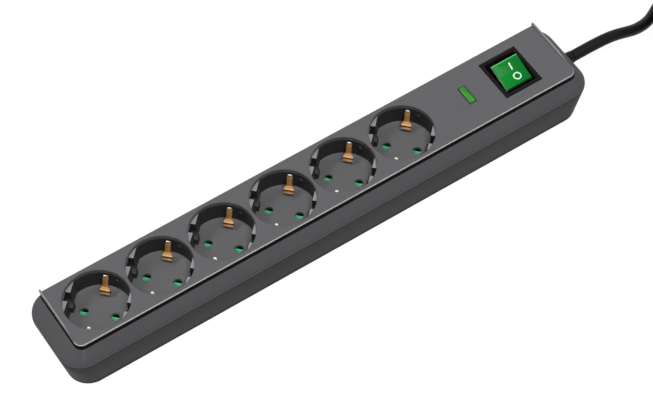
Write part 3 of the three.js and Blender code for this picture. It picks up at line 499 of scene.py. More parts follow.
# The earth clips by height, with painted reflections: the dark foot, two bright bars with dark bands below
# them, the golden neck and a painted highlight on the tip
clipColoursAndReflections = [(24.8, (0.5, 0.24, 0.08)), (25.7, (0.62, 0.32, 0.12)), (26.1, (0.16, 0.04, 0.015)),
             (26.7, (0.22, 0.06, 0.02)), (27.1, (1.0, 0.78, 0.52)), (27.6, (0.7, 0.36, 0.14)),
             (28.2, (0.2, 0.06, 0.02)), (28.9, (0.24, 0.08, 0.03)), (29.3, (1.0, 0.76, 0.5)),
             (29.9, (0.55, 0.27, 0.09)), (34.5, (0.52, 0.28, 0.09)), (37.0, (0.62, 0.38, 0.18)),
             (37.6, (1.0, 0.95, 0.9))]


def clipColour(finish):
    low, high = clipColoursAndReflections[0][0], clipColoursAndReflections[-1][0]
    stops = [((z - low) / (high - low), colour) for z, colour in clipColoursAndReflections]
    height = finish.band(finish.axis("Z"), low, high, "LINEAR")
    return finish.add("ShaderNodeValToRGB", {"stops": stops}, {"Fac": height})


def earthWireFinish():
    # green and yellow stripes that wind round the wire
    finish = Finish("wireGreenYellow")
    wave = finish.axis("X") * 0.35 + finish.axis("Y") * 0.9
    mask = finish.band(finish.maths("SINE", wave), -0.1, 0.1)
    colour = finish.blend(mask, (0.04, 0.24, 0.05), (0.62, 0.52, 0.03))
    grain = finish.noise(0.5)
    return finish.close(Base_Color=colour, Roughness=0.35 + grain * 0.1, Normal=finish.bump(grain, 0.01))


# The rocker's green cap: clear glossy green, with painted light that makes it brighter towards the left side
rockerGreen = dict(bright=(0.0, 0.22, 0.02), deep=(0.0, 0.15, 0.018), edge=(0.25, 0.62, 0.30),
               fadeStart=135, fadeEnd=155, farLine=6.6, leftLine=133.62)


def rockerFinish():
    finish = Finish("rockerGreen")
    # painted light: the cap is brighter towards the left
    side = finish.band(finish.axis("X") + finish.noise(9) * 5, rockerGreen["fadeStart"],
                       rockerGreen["fadeEnd"])
    colour = finish.blend(side, rockerGreen["bright"], rockerGreen["deep"])
    # painted highlight along the cap's far and left rims
    rim = (finish.axis("Y") > rockerGreen["farLine"]) + (finish.axis("X") < rockerGreen["leftLine"])
    colour = finish.blend(rim * 0.7, colour, rockerGreen["edge"])
    grain = finish.noise(0.6)
    return finish.close(Base_Color=colour, Roughness=0.3 + grain * 0.06, Specular_IOR_Level=0.1,
                        Normal=finish.bump(grain, 0.004))


def mottled(name, size, first, second, roughness):
    # two close tones in small patches
    finish = Finish(name)
    grain = finish.noise(size, 3)
    return finish.close(Base_Color=finish.blend(grain, first, second), Roughness=roughness + grain * 0.1)


def lensFinish():
    # clear green pane with painted light as if lit from below: the ribs are painted as faint bars, and
    # lighter patches as a glow
    finish = Finish("lensGreen")
    ribs = finish.maths("SINE", finish.axis("Y") * 4.2)
    glow = finish.band(finish.noise(4), 0.3, 0.7)
    colour = finish.blend(finish.band(ribs, -0.6, 0.9), (0.015, 0.18, 0.015), (0.04, 0.30, 0.03))
    colour = finish.blend(glow * 0.35, colour, (0.10, 0.42, 0.06))
    return finish.close(Base_Color=colour, Roughness=0.2 + glow * 0.05, Specular_IOR_Level=0.2,
                        Normal=finish.bump(ribs, 0.012))


finishes = {name: mouldedPlastic(name) for name in plastics}
finishes.update({name: rolledMetal(name, clipColour if name == "clipGold" else None) for name in metals})
for material in (
        earthWireFinish(), rockerFinish(), lensFinish(),
        # painted highlight: the rocker's rim is painted a lighter green
        mottled("rockerRimHighlight", 1.2, rockerGreen["edge"], tone(rockerGreen["edge"], 0.7), 0.2),
        mottled("markWhite", 0.7, (0.55, 0.83, 0.56), (0.80, 0.96, 0.80), 0.35)):
    finishes[material.name] = material
print("finishes ready:", len(finishes))


def paint(obj, name):
    obj.data.materials.clear()
    obj.data.materials.append(finishes[name])
    return obj


def install(obj, finishName, slotName, *stands, body="housing"):
    # gives a finished piece its finish and its body, and hides the imported nodes that it stands for
    paint(obj, finishName)
    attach(obj, body)
    if stands:
        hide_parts(*stands)
    return obj


# The lead: one route from the gland, down to the table, round the coil, over its top and into the plug
lead = dict(
    diameter=7.4,
    run=[(191.4, 0, 22), (197, 0, 22), (203, 0, 22), (210, 0, 21.8), (217, 0, 21.2), (223, 0, 20.1),
         (229, 0, 18.2), (235, 0.1, 15.7), (241, 0.6, 13), (247, 1.8, 10.5), (253, 3.6, 8.3),
         (258, 5.7, 6.8), (263, 8.3, 5.7), (266.6, 10.4, 5.2), (270, 12.3, 4.95), (276.3, 16, 4.95)],
    centre=(305, -19), middle=37.1, pitch=8.1, turns=6, layers=3, join=120, climb=0.25, low=4.95, steps=24,
    straight=19.3, tailEnd=3, tailClimb=(-24, 22), heading=-10, plugBase=25.25, plugEntry=13.05,
    length=1.525,
)
leadTurns = lead["turns"] - (270 + lead["heading"] - lead["join"]) / 360
layerTurns = leadTurns / lead["layers"]
leadSpan = lead["pitch"] * layerTurns
leadOuter, leadInner = lead["middle"] + leadSpan / 2, lead["middle"] - leadSpan / 2
leadTop = lead["low"] + lead["pitch"] * (lead["layers"] - 1)
turned = lead["straight"] + math.pi * leadInner  # how far along the tail its half turn ends
plugTurn = Matrix.Rotation(math.radians(lead["heading"]), 4, "Z")
fromPlugFrame = Matrix.Translation((*lead["centre"], 0)) @ plugTurn


def easeBetween(value, low, high):
    share = min(max((value - low) / (high - low), 0), 1)
    return share * share * (3 - 2 * share)


def tailHeight(along):
    # first onto the coil's top, then up to the plug's neck
    rest = lead["plugBase"] + lead["plugEntry"] - leadTop - lead["pitch"]
    return (leadTop + lead["pitch"] * easeBetween(along, *lead["tailClimb"])
            + rest * easeBetween(along, lead["tailClimb"][1], turned))


def coilPoint(turn):
    layer = min(int(turn / layerTurns), lead["layers"] - 1)
    share = turn / layerTurns - layer
    radius = leadOuter - leadSpan * (1 - share if layer % 2 else share)
    angle = math.radians(lead["join"]) - turn * 2 * math.pi
    height = lead["low"] + lead["pitch"] * sum(
        easeBetween(turn, k * layerTurns - lead["climb"], k * layerTurns + lead["climb"])
        for k in range(1, lead["layers"]))
    if turn > leadTurns - 0.5:
        height = tailHeight((turn - leadTurns) * 2 * math.pi * leadInner)
    return lead["centre"][0] + radius * math.cos(angle), lead["centre"][1] + radius * math.sin(angle), height


def tailPoint(along):
    arc = min(max(along - lead["straight"], 0) / leadInner, math.pi)
    before, after = min(along, lead["straight"]), max(along - turned, 0)
    flat = Vector((after - before - leadInner * math.sin(arc), -leadInner * math.cos(arc), 0))
    return tuple(fromPlugFrame @ flat)[:2] + (tailHeight(along),)


def leadRoute():
    points = list(lead["run"])
    points += [coilPoint(i / lead["steps"]) for i in range(int(leadTurns * lead["steps"]) + 1)]
    full, steps = turned + lead["tailEnd"], 15
    return points + [tailPoint(full * i / steps) for i in range(steps + 1)]


def addLead():
    points = leadRoute()
    data = bpy.data.curves.new("lead", "CURVE")
    data.dimensions = "3D"
    data.bevel_depth = lead["diameter"] / 2 * mm
    data.bevel_resolution = 5
    data.resolution_u = 4
    data.use_fill_caps = True
    spline = data.splines.new("BEZIER")
    spline.bezier_points.add(len(points) - 1)
    for spot, point in zip(spline.bezier_points, points):
        spot.co = Vector(point) * mm
        spot.handle_left_type = spot.handle_right_type = "AUTO"
    return addObject("lead", data)


leadObject = install(addLead(), "cordBlack", "cord_black", "cord_run", "cord_coil")
print("lead laid out")

# Lower shell
shell = dict(
    length=374, width=59, crease=27, corner=15, sideDraft=3.4, endDraft=5,
    chamfer=0.9, wall=2.3, floor=2.4, rimTop=37.1, rimInner=0.9, rimRound=0.35,
    creaseRound=2.6, panelLength=353.4, panelWidth=45.9, nearCorner=5, farCorner=1.6,
    lip=0.6, cordHole=6.3, screwX=(-130.0, -1.9, 165.5), screwY=17.4, screwRadius=3.35,
    screwDepth=4.6, keyX=(-87.3, 83.5), keyRadius=4.2, keyDepth=3.4, slotRadius=2.2,
    slotLength=8, plateLow=(-60, -14), plateHigh=(30, 14), plateDepth=0.25,
)
cordHeight = lead["run"][0][2]


def addLoop(halfX, halfY, near, far, z):
    # a flat rounded rectangle, one face
    deselectAll()
    bpy.ops.mesh.primitive_plane_add(size=1, location=(0, 0, z * mm))
    obj = bpy.context.object
    obj.scale = (2 * halfX * mm, 2 * halfY * mm, 1)
    settle(obj)
    for radius, sign in ((near, -1), (far, 1)):
        pick(obj, "VERT", "vertices", lambda vertex: abs(abs(vertex.co.x) - halfX * mm) < 1e-6
             and abs(vertex.co.y * sign - halfY * mm) < 1e-6)
        bpy.ops.mesh.bevel(offset=radius * mm, segments=10, affect="VERTICES")
        leaveEdit()
    return obj


def bridgeLoops(name, loops):
    # joins flat loops, in order, into one closed skin
    for index, obj in enumerate(loops):
        if 0 < index < len(loops) - 1:
            openEdit(obj, "FACE")
            bpy.ops.mesh.delete(type="ONLY_FACE")
            leaveEdit()
        mark = obj.data.attributes.new("level", "INT", "POINT")
        mark.data.foreach_set("value", [index] * len(obj.data.vertices))
    body = joinUp(name, *loops)
    for index in range(len(loops) - 1):
        level = [item.value for item in body.data.attributes["level"].data]
        pick(body, "EDGE", "edges",
             lambda edge: {level[end] for end in edge.vertices} in ({index}, {index + 1}))
        bpy.ops.mesh.bridge_edge_loops()
        leaveEdit()
    body.data.attributes.remove(body.data.attributes["level"])
    faceOutwards(body)
    return body


def lowerShell():
    halfX, halfY = shell["length"] / 2, shell["width"] / 2
    baseX, baseY = halfX - shell["endDraft"], halfY - shell["sideDraft"]
    panelX, panelY = shell["panelLength"] / 2, shell["panelWidth"] / 2
    lip, wall, corner, inner, near, far, chamfer, crease, rim = read(
        shell, "lip wall corner rimInner nearCorner farCorner chamfer crease rimTop")
    loops = [
        addLoop(baseX - chamfer, baseY - chamfer, corner - 1 - chamfer, corner - 1 - chamfer, 0),
        addLoop(baseX, baseY, corner - 1, corner - 1, chamfer),
        addLoop(halfX, halfY, corner, corner, crease),
        addLoop(panelX + lip, panelY + lip, near + lip, far + lip, rim),
        addLoop(panelX - inner, panelY - inner, near - inner, far - inner, rim),
        addLoop(halfX - wall, halfY - wall, corner - wall, corner - wall, crease - wall / 3),
        addLoop(baseX - wall, baseY - wall, corner - 1 - wall, corner - 1 - wall, shell["floor"]),
    ]
    body = bridgeLoops("lowerShell", loops)
    roundEdges(body, both(lambda p: abs(p.z - crease) < 0.01), shell["creaseRound"], 5)
    roundEdges(body, both(lambda p: abs(p.z - rim) < 0.01 and (abs(p.x) > panelX or abs(p.y) > panelY)),
               shell["rimRound"], 2)
    tools = [addRod("hole", halfX - 20, halfX + 5, 0, cordHeight, shell["cordHole"])]
    tools += [addDrum("hole", x, side * shell["screwY"], -1, shell["screwDepth"], shell["screwRadius"], 32)
              for x in shell["screwX"] for side in (-1, 1)]
    depth, half = shell["keyDepth"], shell["slotRadius"]
    for x in shell["keyX"]:
        end = x + shell["slotLength"]
        tools.append(weld(addDrum("hole", x, 0, -1, depth, shell["keyRadius"], 32),
                          addBlock("hole", (x, -half, -1), (end, half, depth)),
                          addDrum("hole", end, 0, -1, depth, half, 24)))
    # bare panel for a rating plate on the underside
    tools.append(addBlock("hole", (*shell["plateLow"], -1), (*shell["plateHigh"], shell["plateDepth"])))
    cutAway(body, *tools)
    return smooth(body, 40)


install(lowerShell(), "lowerGrey", "body_grey", "bottom_shell")
print("lower shell done")

# Socket panel
panel = dict(
    top=41, edge=1.5, round=0.75, plate=2.2, inset=1.2, skirt=1.6, skirtLow=32.1, pitch=42.7, first=-151.35,
    count=6, recess=20.35, depth=16.7, cup=21.3, cupLow=22.3, ledge=3, flat=16.9, shelfSlope=1.3,
    ribWidth=4.6, ribReach=1.9, ribTop=11, notch=6.2, pin=9.5, pinHole=2.65, rimRound=0.4, pinRound=0.3,
    floorRound=0.35, clip=15.2, clipWidth=5.6, clipSlot=1.3, markAngle=26, markHeight=33, markRadius=1.5,
    # low and high corners of the openings for the indicator window, the switch and its flange
    openings=[((108.55, -5.85, 36), (113.15, 7.35, 43)), ((130.4, -13.7, 29), (155.4, 14.5, 43)),
              ((129.4, -14.9, 39.8), (156.4, 15.7, 43))],
)
wellFloor, shelfLevel = panel["top"] - panel["depth"], panel["top"] - panel["ledge"]
ribLevel = panel["top"] - panel["ribTop"]
socketPlaces = [panel["first"] + i * panel["pitch"] for i in range(panel["count"])]
pinLine, clipLine = -45, 45


def alongLine(degrees, distance):
    angle = math.radians(degrees)
    return distance * math.cos(angle), distance * math.sin(angle)


def copiesAtSockets(first, name):
    # one piece or tool made at X = 0, copied to the six sockets
    copies = [copyOf(first, f"{name}{number}", x) for number, x in enumerate(socketPlaces, 1)]
    bpy.data.objects.remove(first)
    return copies


def atEachSocket(tool):
    return joinUp("tools", *copiesAtSockets(tool, "copy"))


def chamferCone(x, y, z, radius, width):
    # opens a hole of this radius by width at height z, at 45 degrees
    return addDrum("hole", x, y, z - width - 0.5, z + 0.6, radius - 0.5, 96, radius + width + 0.6)


def recessTools():
    # the round wells with rounded floors and softened rims
    top, radius = panel["top"], panel["recess"]
    well = addDrum("hole", 0, 0, wellFloor, top + 1, radius, 96)
    roundEdges(well, below(wellFloor), panel["floorRound"], 2)
    return [atEachSocket(well), atEachSocket(chamferCone(0, 0, top, radius, panel["rimRound"]))]


def recessLedges():
    # the half-moon shelves on both sides of the flats, each with a notch over its rib
    flat, reach = panel["flat"], panel["recess"] + 0.4
    moons = addDrum("moons", 0, 0, wellFloor - 0.5, shelfLevel, reach, 96)
    slab = addBox("hole", 0, 0, flat, 30, wellFloor - 1, shelfLevel + 1)
    notch = addBox("hole", 0, 0, reach - 0.6, panel["notch"] / 2, ribLevel, shelfLevel + 1)
    cutAway(moons, slab)
    roundEdges(moons, both(lambda p: p.z > shelfLevel - 0.01 and abs(abs(p.x) - flat) < 0.02),
               panel["shelfSlope"], 1)
    cutAway(moons, notch)
    return atEachSocket(turnAbout(moons, pinLine))


def wallMarks():
    # the moulding mark beside the far clip, a low round boss on the well's wall
    boss = addRod("mark", panel["recess"] - 0.7, panel["recess"] + 0.4, 0, panel["markHeight"],
                  panel["markRadius"], 24)
    softenAll(boss, 0.35, 3)
    return atEachSocket(turnAbout(boss, panel["markAngle"]))


def floorTools():
    # pin holes and the slots of the earth clips
    low, tools = panel["cupLow"] - 1, []
    for side in (-1, 1):
        x, y = alongLine(pinLine, side * panel["pin"])
        tools.append(addDrum("hole", x, y, low, wellFloor + 1, panel["pinHole"], 40))
        tools.append(chamferCone(x, y, wellFloor, panel["pinHole"], panel["pinRound"]))
        x, y = alongLine(clipLine, side * panel["clip"])
        slot = addBox("hole", x, y, panel["clipSlot"], panel["clipWidth"] / 2, low, wellFloor + 1)
        tools.append(turnAbout(slot, clipLine, x, y))
    return [atEachSocket(tool) for tool in tools]


def guideRib(side):
    inner, outer = panel["flat"] - panel["ribReach"], panel["recess"] + 0.6
    x, y = alongLine(pinLine, side * (inner + outer) / 2)
    rib = addBox("rib", x, y, (outer - inner) / 2, panel["ribWidth"] / 2, wellFloor - 0.5, ribLevel)
    softenAll(rib, 0.5)
    return atEachSocket(turnAbout(rib, pinLine, x, y))


lipShape = dict(height=1.3, sunk=0.7, width=1.5, reach=0.7, fade=16, slant=0.5, foot=0.3)


def endLip(side):
    # raised lip on a short edge, fading out near the front corner
    top, halfY = panel["top"], shell["panelWidth"] / 2
    height, sunk, width, reach, fade, slant, foot = read(lipShape, "height sunk width reach fade slant foot")
    outer = side * (shell["panelLength"] / 2 - 0.02)
    inner = outer - side * width
    near, far = shell["nearCorner"] + fade - halfY, halfY + reach
    lip = addBlock("lip", (min(outer, inner), near, top - sunk), (max(outer, inner), far, top + height))
    pickFaces(lip, lambda centre, normal: normal.y < -0.9)
    bpy.ops.mesh.extrude_region_move(TRANSFORM_OT_translate={"value": (0, -fade * mm, 0)})
    leaveEdit()
    moveEdges(lip, both(lambda p: p.z > top and p.y < near - fade + 1), (0, 0, -height - 0.05))
    moveEdges(lip, both(lambda p: p.z > top - 0.1 and abs(p.x - inner) < 0.01), (side * slant, 0, 0))
    moveEdges(lip, both(lambda p: p.z < top - 0.6 and abs(p.x - inner) < 0.01), (0, 0, foot))
    return softenAll(lip, 0.35, 3, 25)


def panelSlab(name, offset, low, high):
    # the panel's outline, drawn in by offset, as a slab
    slab = addLoop(shell["panelLength"] / 2 - offset, shell["panelWidth"] / 2 - offset,
                   shell["nearCorner"] - offset, max(shell["farCorner"] - offset, 0.4), low)
    openEdit(slab, "FACE")
    bpy.ops.mesh.extrude_region_move(TRANSFORM_OT_translate={"value": (0, 0, (high - low) * mm)})
    leaveEdit()
    faceOutwards(slab)
    return settle(slab, name)


def socketPanel():
    top, inset, low = read(panel, "top inset skirtLow")
    body = panelSlab("socketPanel", 0, top - panel["edge"], top)
    roundEdges(body, above(top), panel["round"], 4)
    weld(body, panelSlab("skirt", inset, low, top - 1))
    cutAway(body, panelSlab("hollow", inset + panel["skirt"], low - 1, top - panel["plate"]))
    weld(body, endLip(-1), endLip(1))
    weld(body, atEachSocket(addDrum("cup", 0, 0, panel["cupLow"], top - 1, panel["cup"], 64)))
    cutAway(body, *(addBlock("hole", *corners) for corners in panel["openings"]), *recessTools())
    weld(body, recessLedges(), guideRib(-1), guideRib(1), wallMarks())
    cutAway(body, *floorTools())
    return smooth(body)


install(socketPanel(), "housingGrey", "panel_grey", "top_shell")
print("socket panel done")


def installAtSockets(first, name, finishName, slotName, node, body="housing"):
    for number, piece in enumerate(copiesAtSockets(first, name), 1):
        install(piece, finishName, slotName, f"{node}_{number}", body=body.format(number))


# Earth clips: sprung copper strips with a narrow tip, two embossed bars and a wide foot
clip = dict(
    thickness=0.8,
    # distance from the well's middle, height, half width
    line=[(15.2, 16.6, 2.5), (15.2, 24.7, 2.5), (13.4, 25.1, 2.9), (12.6, 25.7, 3.1), (12.9, 26.4, 3.1),
          (12.6, 27.1, 3.3), (13.2, 27.8, 3.1), (13.8, 28.6, 3.1), (13.8, 29.3, 3.2), (14.4, 29.9, 3.0),
          (15.1, 30.5, 2.4), (15.6, 31.2, 1.8), (16.1, 32.2, 1.7), (16.8, 33.4, 1.7), (17.5, 34.8, 1.7),
          (18.2, 36.0, 1.7), (18.7, 37.0, 1.6), (18.7, 37.6, 1.4), (18.4, 38.2, 1.15), (18.0, 38.7, 0.8)],
)


def clipArm(name):
    # a strip swept upwards from its foot, seen along the pin line
    half = clip["thickness"] / 2
    s, z, wide = clip["line"][0]
    arm = addBlock(name, (s - half, -wide, z), (s + half, wide, z + 0.4))
    for (s0, z0, wide0), (s1, z1, wide1) in zip(clip["line"], clip["line"][1:]):
        highest = max(v.co.z for v in arm.data.vertices) / mm
        pickFaces(arm, lambda centre, normal, top=highest: centre.z > top - 0.01)
        bpy.ops.mesh.extrude_region_move(TRANSFORM_OT_translate={
            "value": ((s1 - s0) * mm, 0, (z1 - highest) * mm)})
        bpy.ops.transform.resize(value=(1, wide1 / wide0, 1))
        leaveEdit()
    softenAll(arm, 0.16, 2, 25)
    return arm


def earthClip():
    reach, low, wide = clip["line"][0]
    arms = [turnAbout(clipArm("arm"), degrees) for degrees in (0, 180)]
    base = addBox("base", 0, 0, reach, wide, low, low + clip["thickness"])
    return smooth(turnAbout(joinUp("earthClip", *arms, base), clipLine), 50)


installAtSockets(earthClip(), "earthClip", "clipGold", "copper", "earth_clip")
print("earth clips done")

# Shutters: green leaves with a ramp under each pin hole
shutter = dict(
    low=20.2, high=22.0, reach=13.2, wing=3.6, farWing=1.3, step=1.1, corner=1.4,
    hub=3.9, bore=1.85, pocket=3.4, pocketDepth=1.3, dish=2.35, dishFoot=1.2,
    dishDepth=0.75,
)


def shutterLeaf():
    low, high, reach, wing = read(shutter, "low high reach wing")
    leaf = addBox("leaf", 0, 0, reach, wing, low, high)
    roundEdges(leaf, upright(), shutter["corner"], 4)
    for side in (-1, 1):
        inner, outer = sorted((side * shutter["hub"], side * (reach + 1)))
        cutAway(leaf, addBlock("step", (inner, shutter["farWing"], high - shutter["step"]),
                               (outer, wing + 1, high + 1)))
    weld(leaf, addDrum("hub", 0, 0, low, high, shutter["hub"], 40))
    cutAway(leaf, addDrum("bore", 0, 0, low - 1, high + 1, shutter["bore"], 32),
            addDrum("pocket", 0, 0, low - 1, low + shutter["pocketDepth"], shutter["pocket"], 32))
    for side in (-1, 1):
        cutAway(leaf, addDrum("ramp", side * panel["pin"], 0, high - shutter["dishDepth"], high + 0.2,
                              shutter["dishFoot"], 32, shutter["dish"]))
    softenAll(leaf, 0.12, 2, 40)
    return turnAbout(smooth(leaf, 40), pinLine)


installAtSockets(shutterLeaf(), "shutterLeaf", "shutterGreen", "shutter_green", "shutter", "shutter_{}")
print("shutters done")

# Switch: a black frame with a deep pit
switch = dict(
    x=142.9, y=0.4, top=41.5, length=26.4, width=30, flange=1.4, corner=0.8,
    edge=0.35, pitLength=21.4, pitWidth=24.6, floor=27, under=25.4, wall=1.5,
    mouth=2.2, mouthDepth=0.9, pivot=38.1, pinHole=1.75, pinReach=14, ridge=(2.5, 0.8),
    ridgeTop=27.6,
)


def switchFrame():
    x, y, top, wall, floor, pivot, pinReach = read(switch, "x y top wall floor pivot pinReach")
    pitX, pitY = switch["pitLength"] / 2, switch["pitWidth"] / 2
    body = addBox("switchFrame", x, y, switch["length"] / 2, switch["width"] / 2, top - switch["flange"], top)
    roundEdges(body, upright(0.5), switch["corner"], 4)
    roundEdges(body, above(top), switch["edge"])
    weld(body, addBox("box", x, y, pitX + wall, pitY + wall, switch["under"], top - 0.4))
    pit = addBox("pit", x, y, pitX, pitY, floor, top + 1)
    roundEdges(pit, upright(), switch["corner"])
    mouth = addBox("mouth", x, y, pitX, pitY, top - switch["mouthDepth"], top + 0.5)
    resizeEnd(mouth, 1 + switch["mouth"] / switch["pitLength"], 1 + switch["mouth"] / switch["pitWidth"])
    pin = addRod("pinHole", x - pinReach, x + pinReach, y, pivot, switch["pinHole"], 24)
    cutAway(body, pit, mouth, pin)
    weld(body, addBox("ridge", x, y, *switch["ridge"], floor - 0.5, switch["ridgeTop"]))
    return smooth(body)


install(switchFrame(), "switchBlack", "black", "switch_housing")

# Rocker: a green cap that dips towards its middle, a rim painted lighter as a highlight, a black base and the
# two marks.
# Heights are from the pivot, and the marks' places from the rocker's middle.
rocker = dict(
    length=19, width=18.3, top=5.6, thick=1.7, taper=0.9, valley=1.5, tilt=17,
    corner=0.5, edge=0.25, rim=0.45, gap=0.02, inset=0.5, baseLow=5.4, foot=9,
    trunnion=1.4, trunnionReach=2, peg=1.2, pegLow=8.2, bar=((1.0, 1.3), (2.0, 6.2)),
    barRound=0.5, ring=(1.7, -3.8), ringMajor=2.25, ringMinor=0.48, ringFlat=0.3,
)


def rockerCap(x, y, low, top):
    length, width, valley, taper = read(rocker, "length width valley taper")
    cap = addBox("rockerCap", x, y, length / 2, width / 2, low, top)
    resizeEnd(cap, 1 - taper / length, 1 - taper / width)
    openEdit(cap, "FACE")
    bpy.ops.mesh.bisect(plane_co=(x * mm, y * mm, top * mm), plane_no=(0, 1, 0))
    leaveEdit()
    moveEdges(cap, both(lambda p: p.z > top - 0.01 and abs(p.y - y) < 0.01), (0, 0, -valley))
    roundEdges(cap, lambda a, b: abs(a.z - b.z) > 1.2 and abs(a.y - y) > 5, rocker["corner"])
    return roundEdges(cap, lambda a, b: min(a.z, b.z) > top - 0.01 or min(a.z, b.z) > top - valley - 0.01
                      and abs(a.y - b.y) + abs(a.z - b.z) > 0.02, rocker["edge"], 3)


def rockerBase(x, y, pivot, top):
    # black, with sloping ends, trunnions and a peg that drives the lever
    inset, low = rocker["inset"], pivot - rocker["baseLow"]
    halfX, halfY = rocker["length"] / 2, rocker["width"] / 2
    base = addBox("rockerBase", x, y, halfX - inset, halfY - inset, low, top)
    resizeEnd(base, 1, rocker["foot"] / (rocker["width"] - 2 * inset), -1)
    softenAll(base, 0.5)
    reach = halfX + rocker["trunnionReach"]
    return weld(base, addRod("trunnion", x - reach, x + reach, y, pivot, rocker["trunnion"], 32),
                addDrum("peg", x, y, pivot - rocker["pegLow"], low + 0.4, rocker["peg"], 24))


def rockerMarks(x, y, face):
    # the two marks stand a hair proud of the cap and lie along its two slopes
    slope = math.degrees(math.atan(rocker["valley"] / (rocker["width"] / 2)))
    (left, near), (right, far) = rocker["bar"]
    bar = addBlock("onMark", (x + left, y + near, face - 0.1), (x + right, y + far, face + 0.05))
    roundEdges(bar, upright(0.1), rocker["barRound"], 4)
    deselectAll()
    ringX, ringY = rocker["ring"]
    bpy.ops.mesh.primitive_torus_add(
        major_segments=48, minor_segments=10, major_radius=rocker["ringMajor"] * mm,
        minor_radius=rocker["ringMinor"] * mm,
        location=((x + ringX) * mm, (y + ringY) * mm, (face - 0.02) * mm))
    ring = bpy.context.object
    ring.scale = (1, 1, rocker["ringFlat"])
    return tipAbout(bar, slope, y, face), tipAbout(settle(ring, "offMark"), -slope, y, face)


def rockerParts():
    x, y, pivot, gap = switch["x"], switch["y"], switch["pivot"], rocker["gap"]
    top = pivot + rocker["top"]
    joint = top - rocker["thick"]
    rimLow = joint - rocker["rim"]
    cap = rockerCap(x, y, joint, top)
    rim = addBox("rockerRim", x, y, rocker["length"] / 2, rocker["width"] / 2, rimLow, joint - gap)
    softenAll(rim, 0.15)
    base = rockerBase(x, y, pivot, rimLow - gap)
    bar, ring = rockerMarks(x, y, top - rocker["valley"])
    for obj, finishName, slotName, stands in (
            (cap, "rockerGreen", "green", ("rocker",)), (rim, "rockerRimHighlight", "green", ()),
            (base, "switchBlack", "black", ("rocker",)), (bar, "markWhite", "green", ()),
            (ring, "markWhite", "green", ())):
        tipAbout(smooth(obj, 40), rocker["tilt"], y, pivot)
        install(obj, finishName, slotName, *stands, body="rocker")


rockerParts()
print("switch done")

# Indicator window
lens = dict(x=110.85, y=0.75, length=4, width=12.6, top=41.5, flangeTop=38.5, flange=1,
            reach=1, corner=0.3, edge=0.35)


def indicatorLens():
    x, y, top, flangeTop, reach = read(lens, "x y top flangeTop reach")
    halfX, halfY, low = lens["length"] / 2, lens["width"] / 2, flangeTop - lens["flange"]
    pane = addBox("indicatorLens", x, y, halfX, halfY, low, top)
    roundEdges(pane, upright(), lens["corner"])
    roundEdges(pane, above(top), lens["edge"])
    weld(pane, addBox("flange", x, y, halfX + reach, halfY + reach, low, flangeTop))
    return smooth(pane, 40)


install(indicatorLens(), "lensGreen", "clear_green", "indicator_lens")
print("indicator done")

# Gland, coil tie and plug
gland = dict(start=169.07, end=191.07, thick=5.6, thin=3.95, flange=7.4, flangeEnd=182.1,
             flangeThick=2.4, round=0.5)


def cordGland():
    start, end, flangeEnd = read(gland, "start end flangeEnd")
    body = addRod("gland", start, end, 0, cordHeight, gland["thick"], 64, gland["thin"])
    weld(body, addRod("flange", flangeEnd - gland["flangeThick"], flangeEnd, 0, cordHeight,
                      gland["flange"], 64))
    roundEdges(body, both(lambda p: p.x > end - 0.01), gland["round"])
    return smooth(body)


glandObject = install(cordGland(), "cordBlack", "cord_black", "cord_gland")

tie = dict(gap=0.4, thickness=0.8, half=4.5, turn=-37.24, round=1.6, innerRound=0.9)


def coilTie():
    t, half, reach = tie["thickness"], tie["half"], lead["diameter"] / 2 + tie["gap"]
    inner, outer, low, high = leadInner - reach, leadOuter + reach, lead["low"] - reach, leadTop + reach
    band = addBlock("coilTie", (inner - t, -half, low - t), (outer + t, half, high + t))
    hole = addBlock("hole", (inner, -half - 1, low), (outer, half + 1, high))
    for obj, width in ((band, tie["round"]), (hole, tie["innerRound"])):
        roundEdges(obj, lambda a, b: abs(a.y - b.y) > 5, width, 5)
    cutAway(band, hole)
    softenAll(band, 0.15)
    turnAbout(band, lead["heading"] + tie["turn"])
    band.data.transform(Matrix.Translation((lead["centre"][0] * mm, lead["centre"][1] * mm, 0)))
    return smooth(band, 40)


tieObject = install(coilTie(), "cordBlack", "tie_black", "coil_tie")

# The plug, face up on the coil, its neck pointing back along its own -X
plug = dict(
    radius=19.3, height=25, backRound=3, faceRound=1.2, neck=25, overlap=3, thin=4.0,
    thick=6.4, rings=5, ringStart=4, ringPitch=3.6, ringWidth=1.3, ringDepth=0.55,
    grooveDepth=1.4, grooveHalf=3.5, grooveLow=6, gap=0.3, pinGap=19, pinRadius=2.4,
    pinLength=19, pinRound=1.3, stripHalf=(3.2, 0.4), stripIn=0.7,
)


def placePlug(obj):
    along = (lead["tailEnd"] + plug["gap"] - lead["straight"] + plug["neck"] + plug["radius"]
             - plug["overlap"])
    middle = fromPlugFrame @ Vector((along, leadInner, lead["plugBase"]))
    obj.matrix_world = Matrix.Translation(middle * mm) @ plugTurn
    return settle(obj)


def plugBody():
    height, radius, thin, thick, depth, overlap = read(plug, "height radius thin thick grooveDepth overlap")
    body = addDrum("plugBody", 0, 0, 0, height, radius, 72)
    roundEdges(body, below(0), plug["backRound"], 6)
    roundEdges(body, above(height), plug["faceRound"], 4)
    start, end, middle = overlap - radius - plug["neck"], 2 * overlap - radius, lead["plugEntry"]
    weld(body, addRod("neck", start, end, 0, middle, thin, 48, thick))
    tools = [addBox("groove", 0, side * radius, plug["grooveHalf"], depth, plug["grooveLow"], height + 1)
             for side in (-1, 1)]
    for step in range(plug["rings"]):
        # ring grooves round the neck, which on the real plug let it bend
        low = start + plug["ringStart"] + step * plug["ringPitch"]
        core = thin + (thick - thin) * (low - start) / (end - start) - plug["ringDepth"]
        ring = addRod("ring", low, low + plug["ringWidth"], 0, middle, 9, 40)
        tools.append(cutAway(ring, addRod("core", low - 1, low + 3, 0, middle, core, 40)))
    cutAway(body, *tools)
    return placePlug(smooth(body))


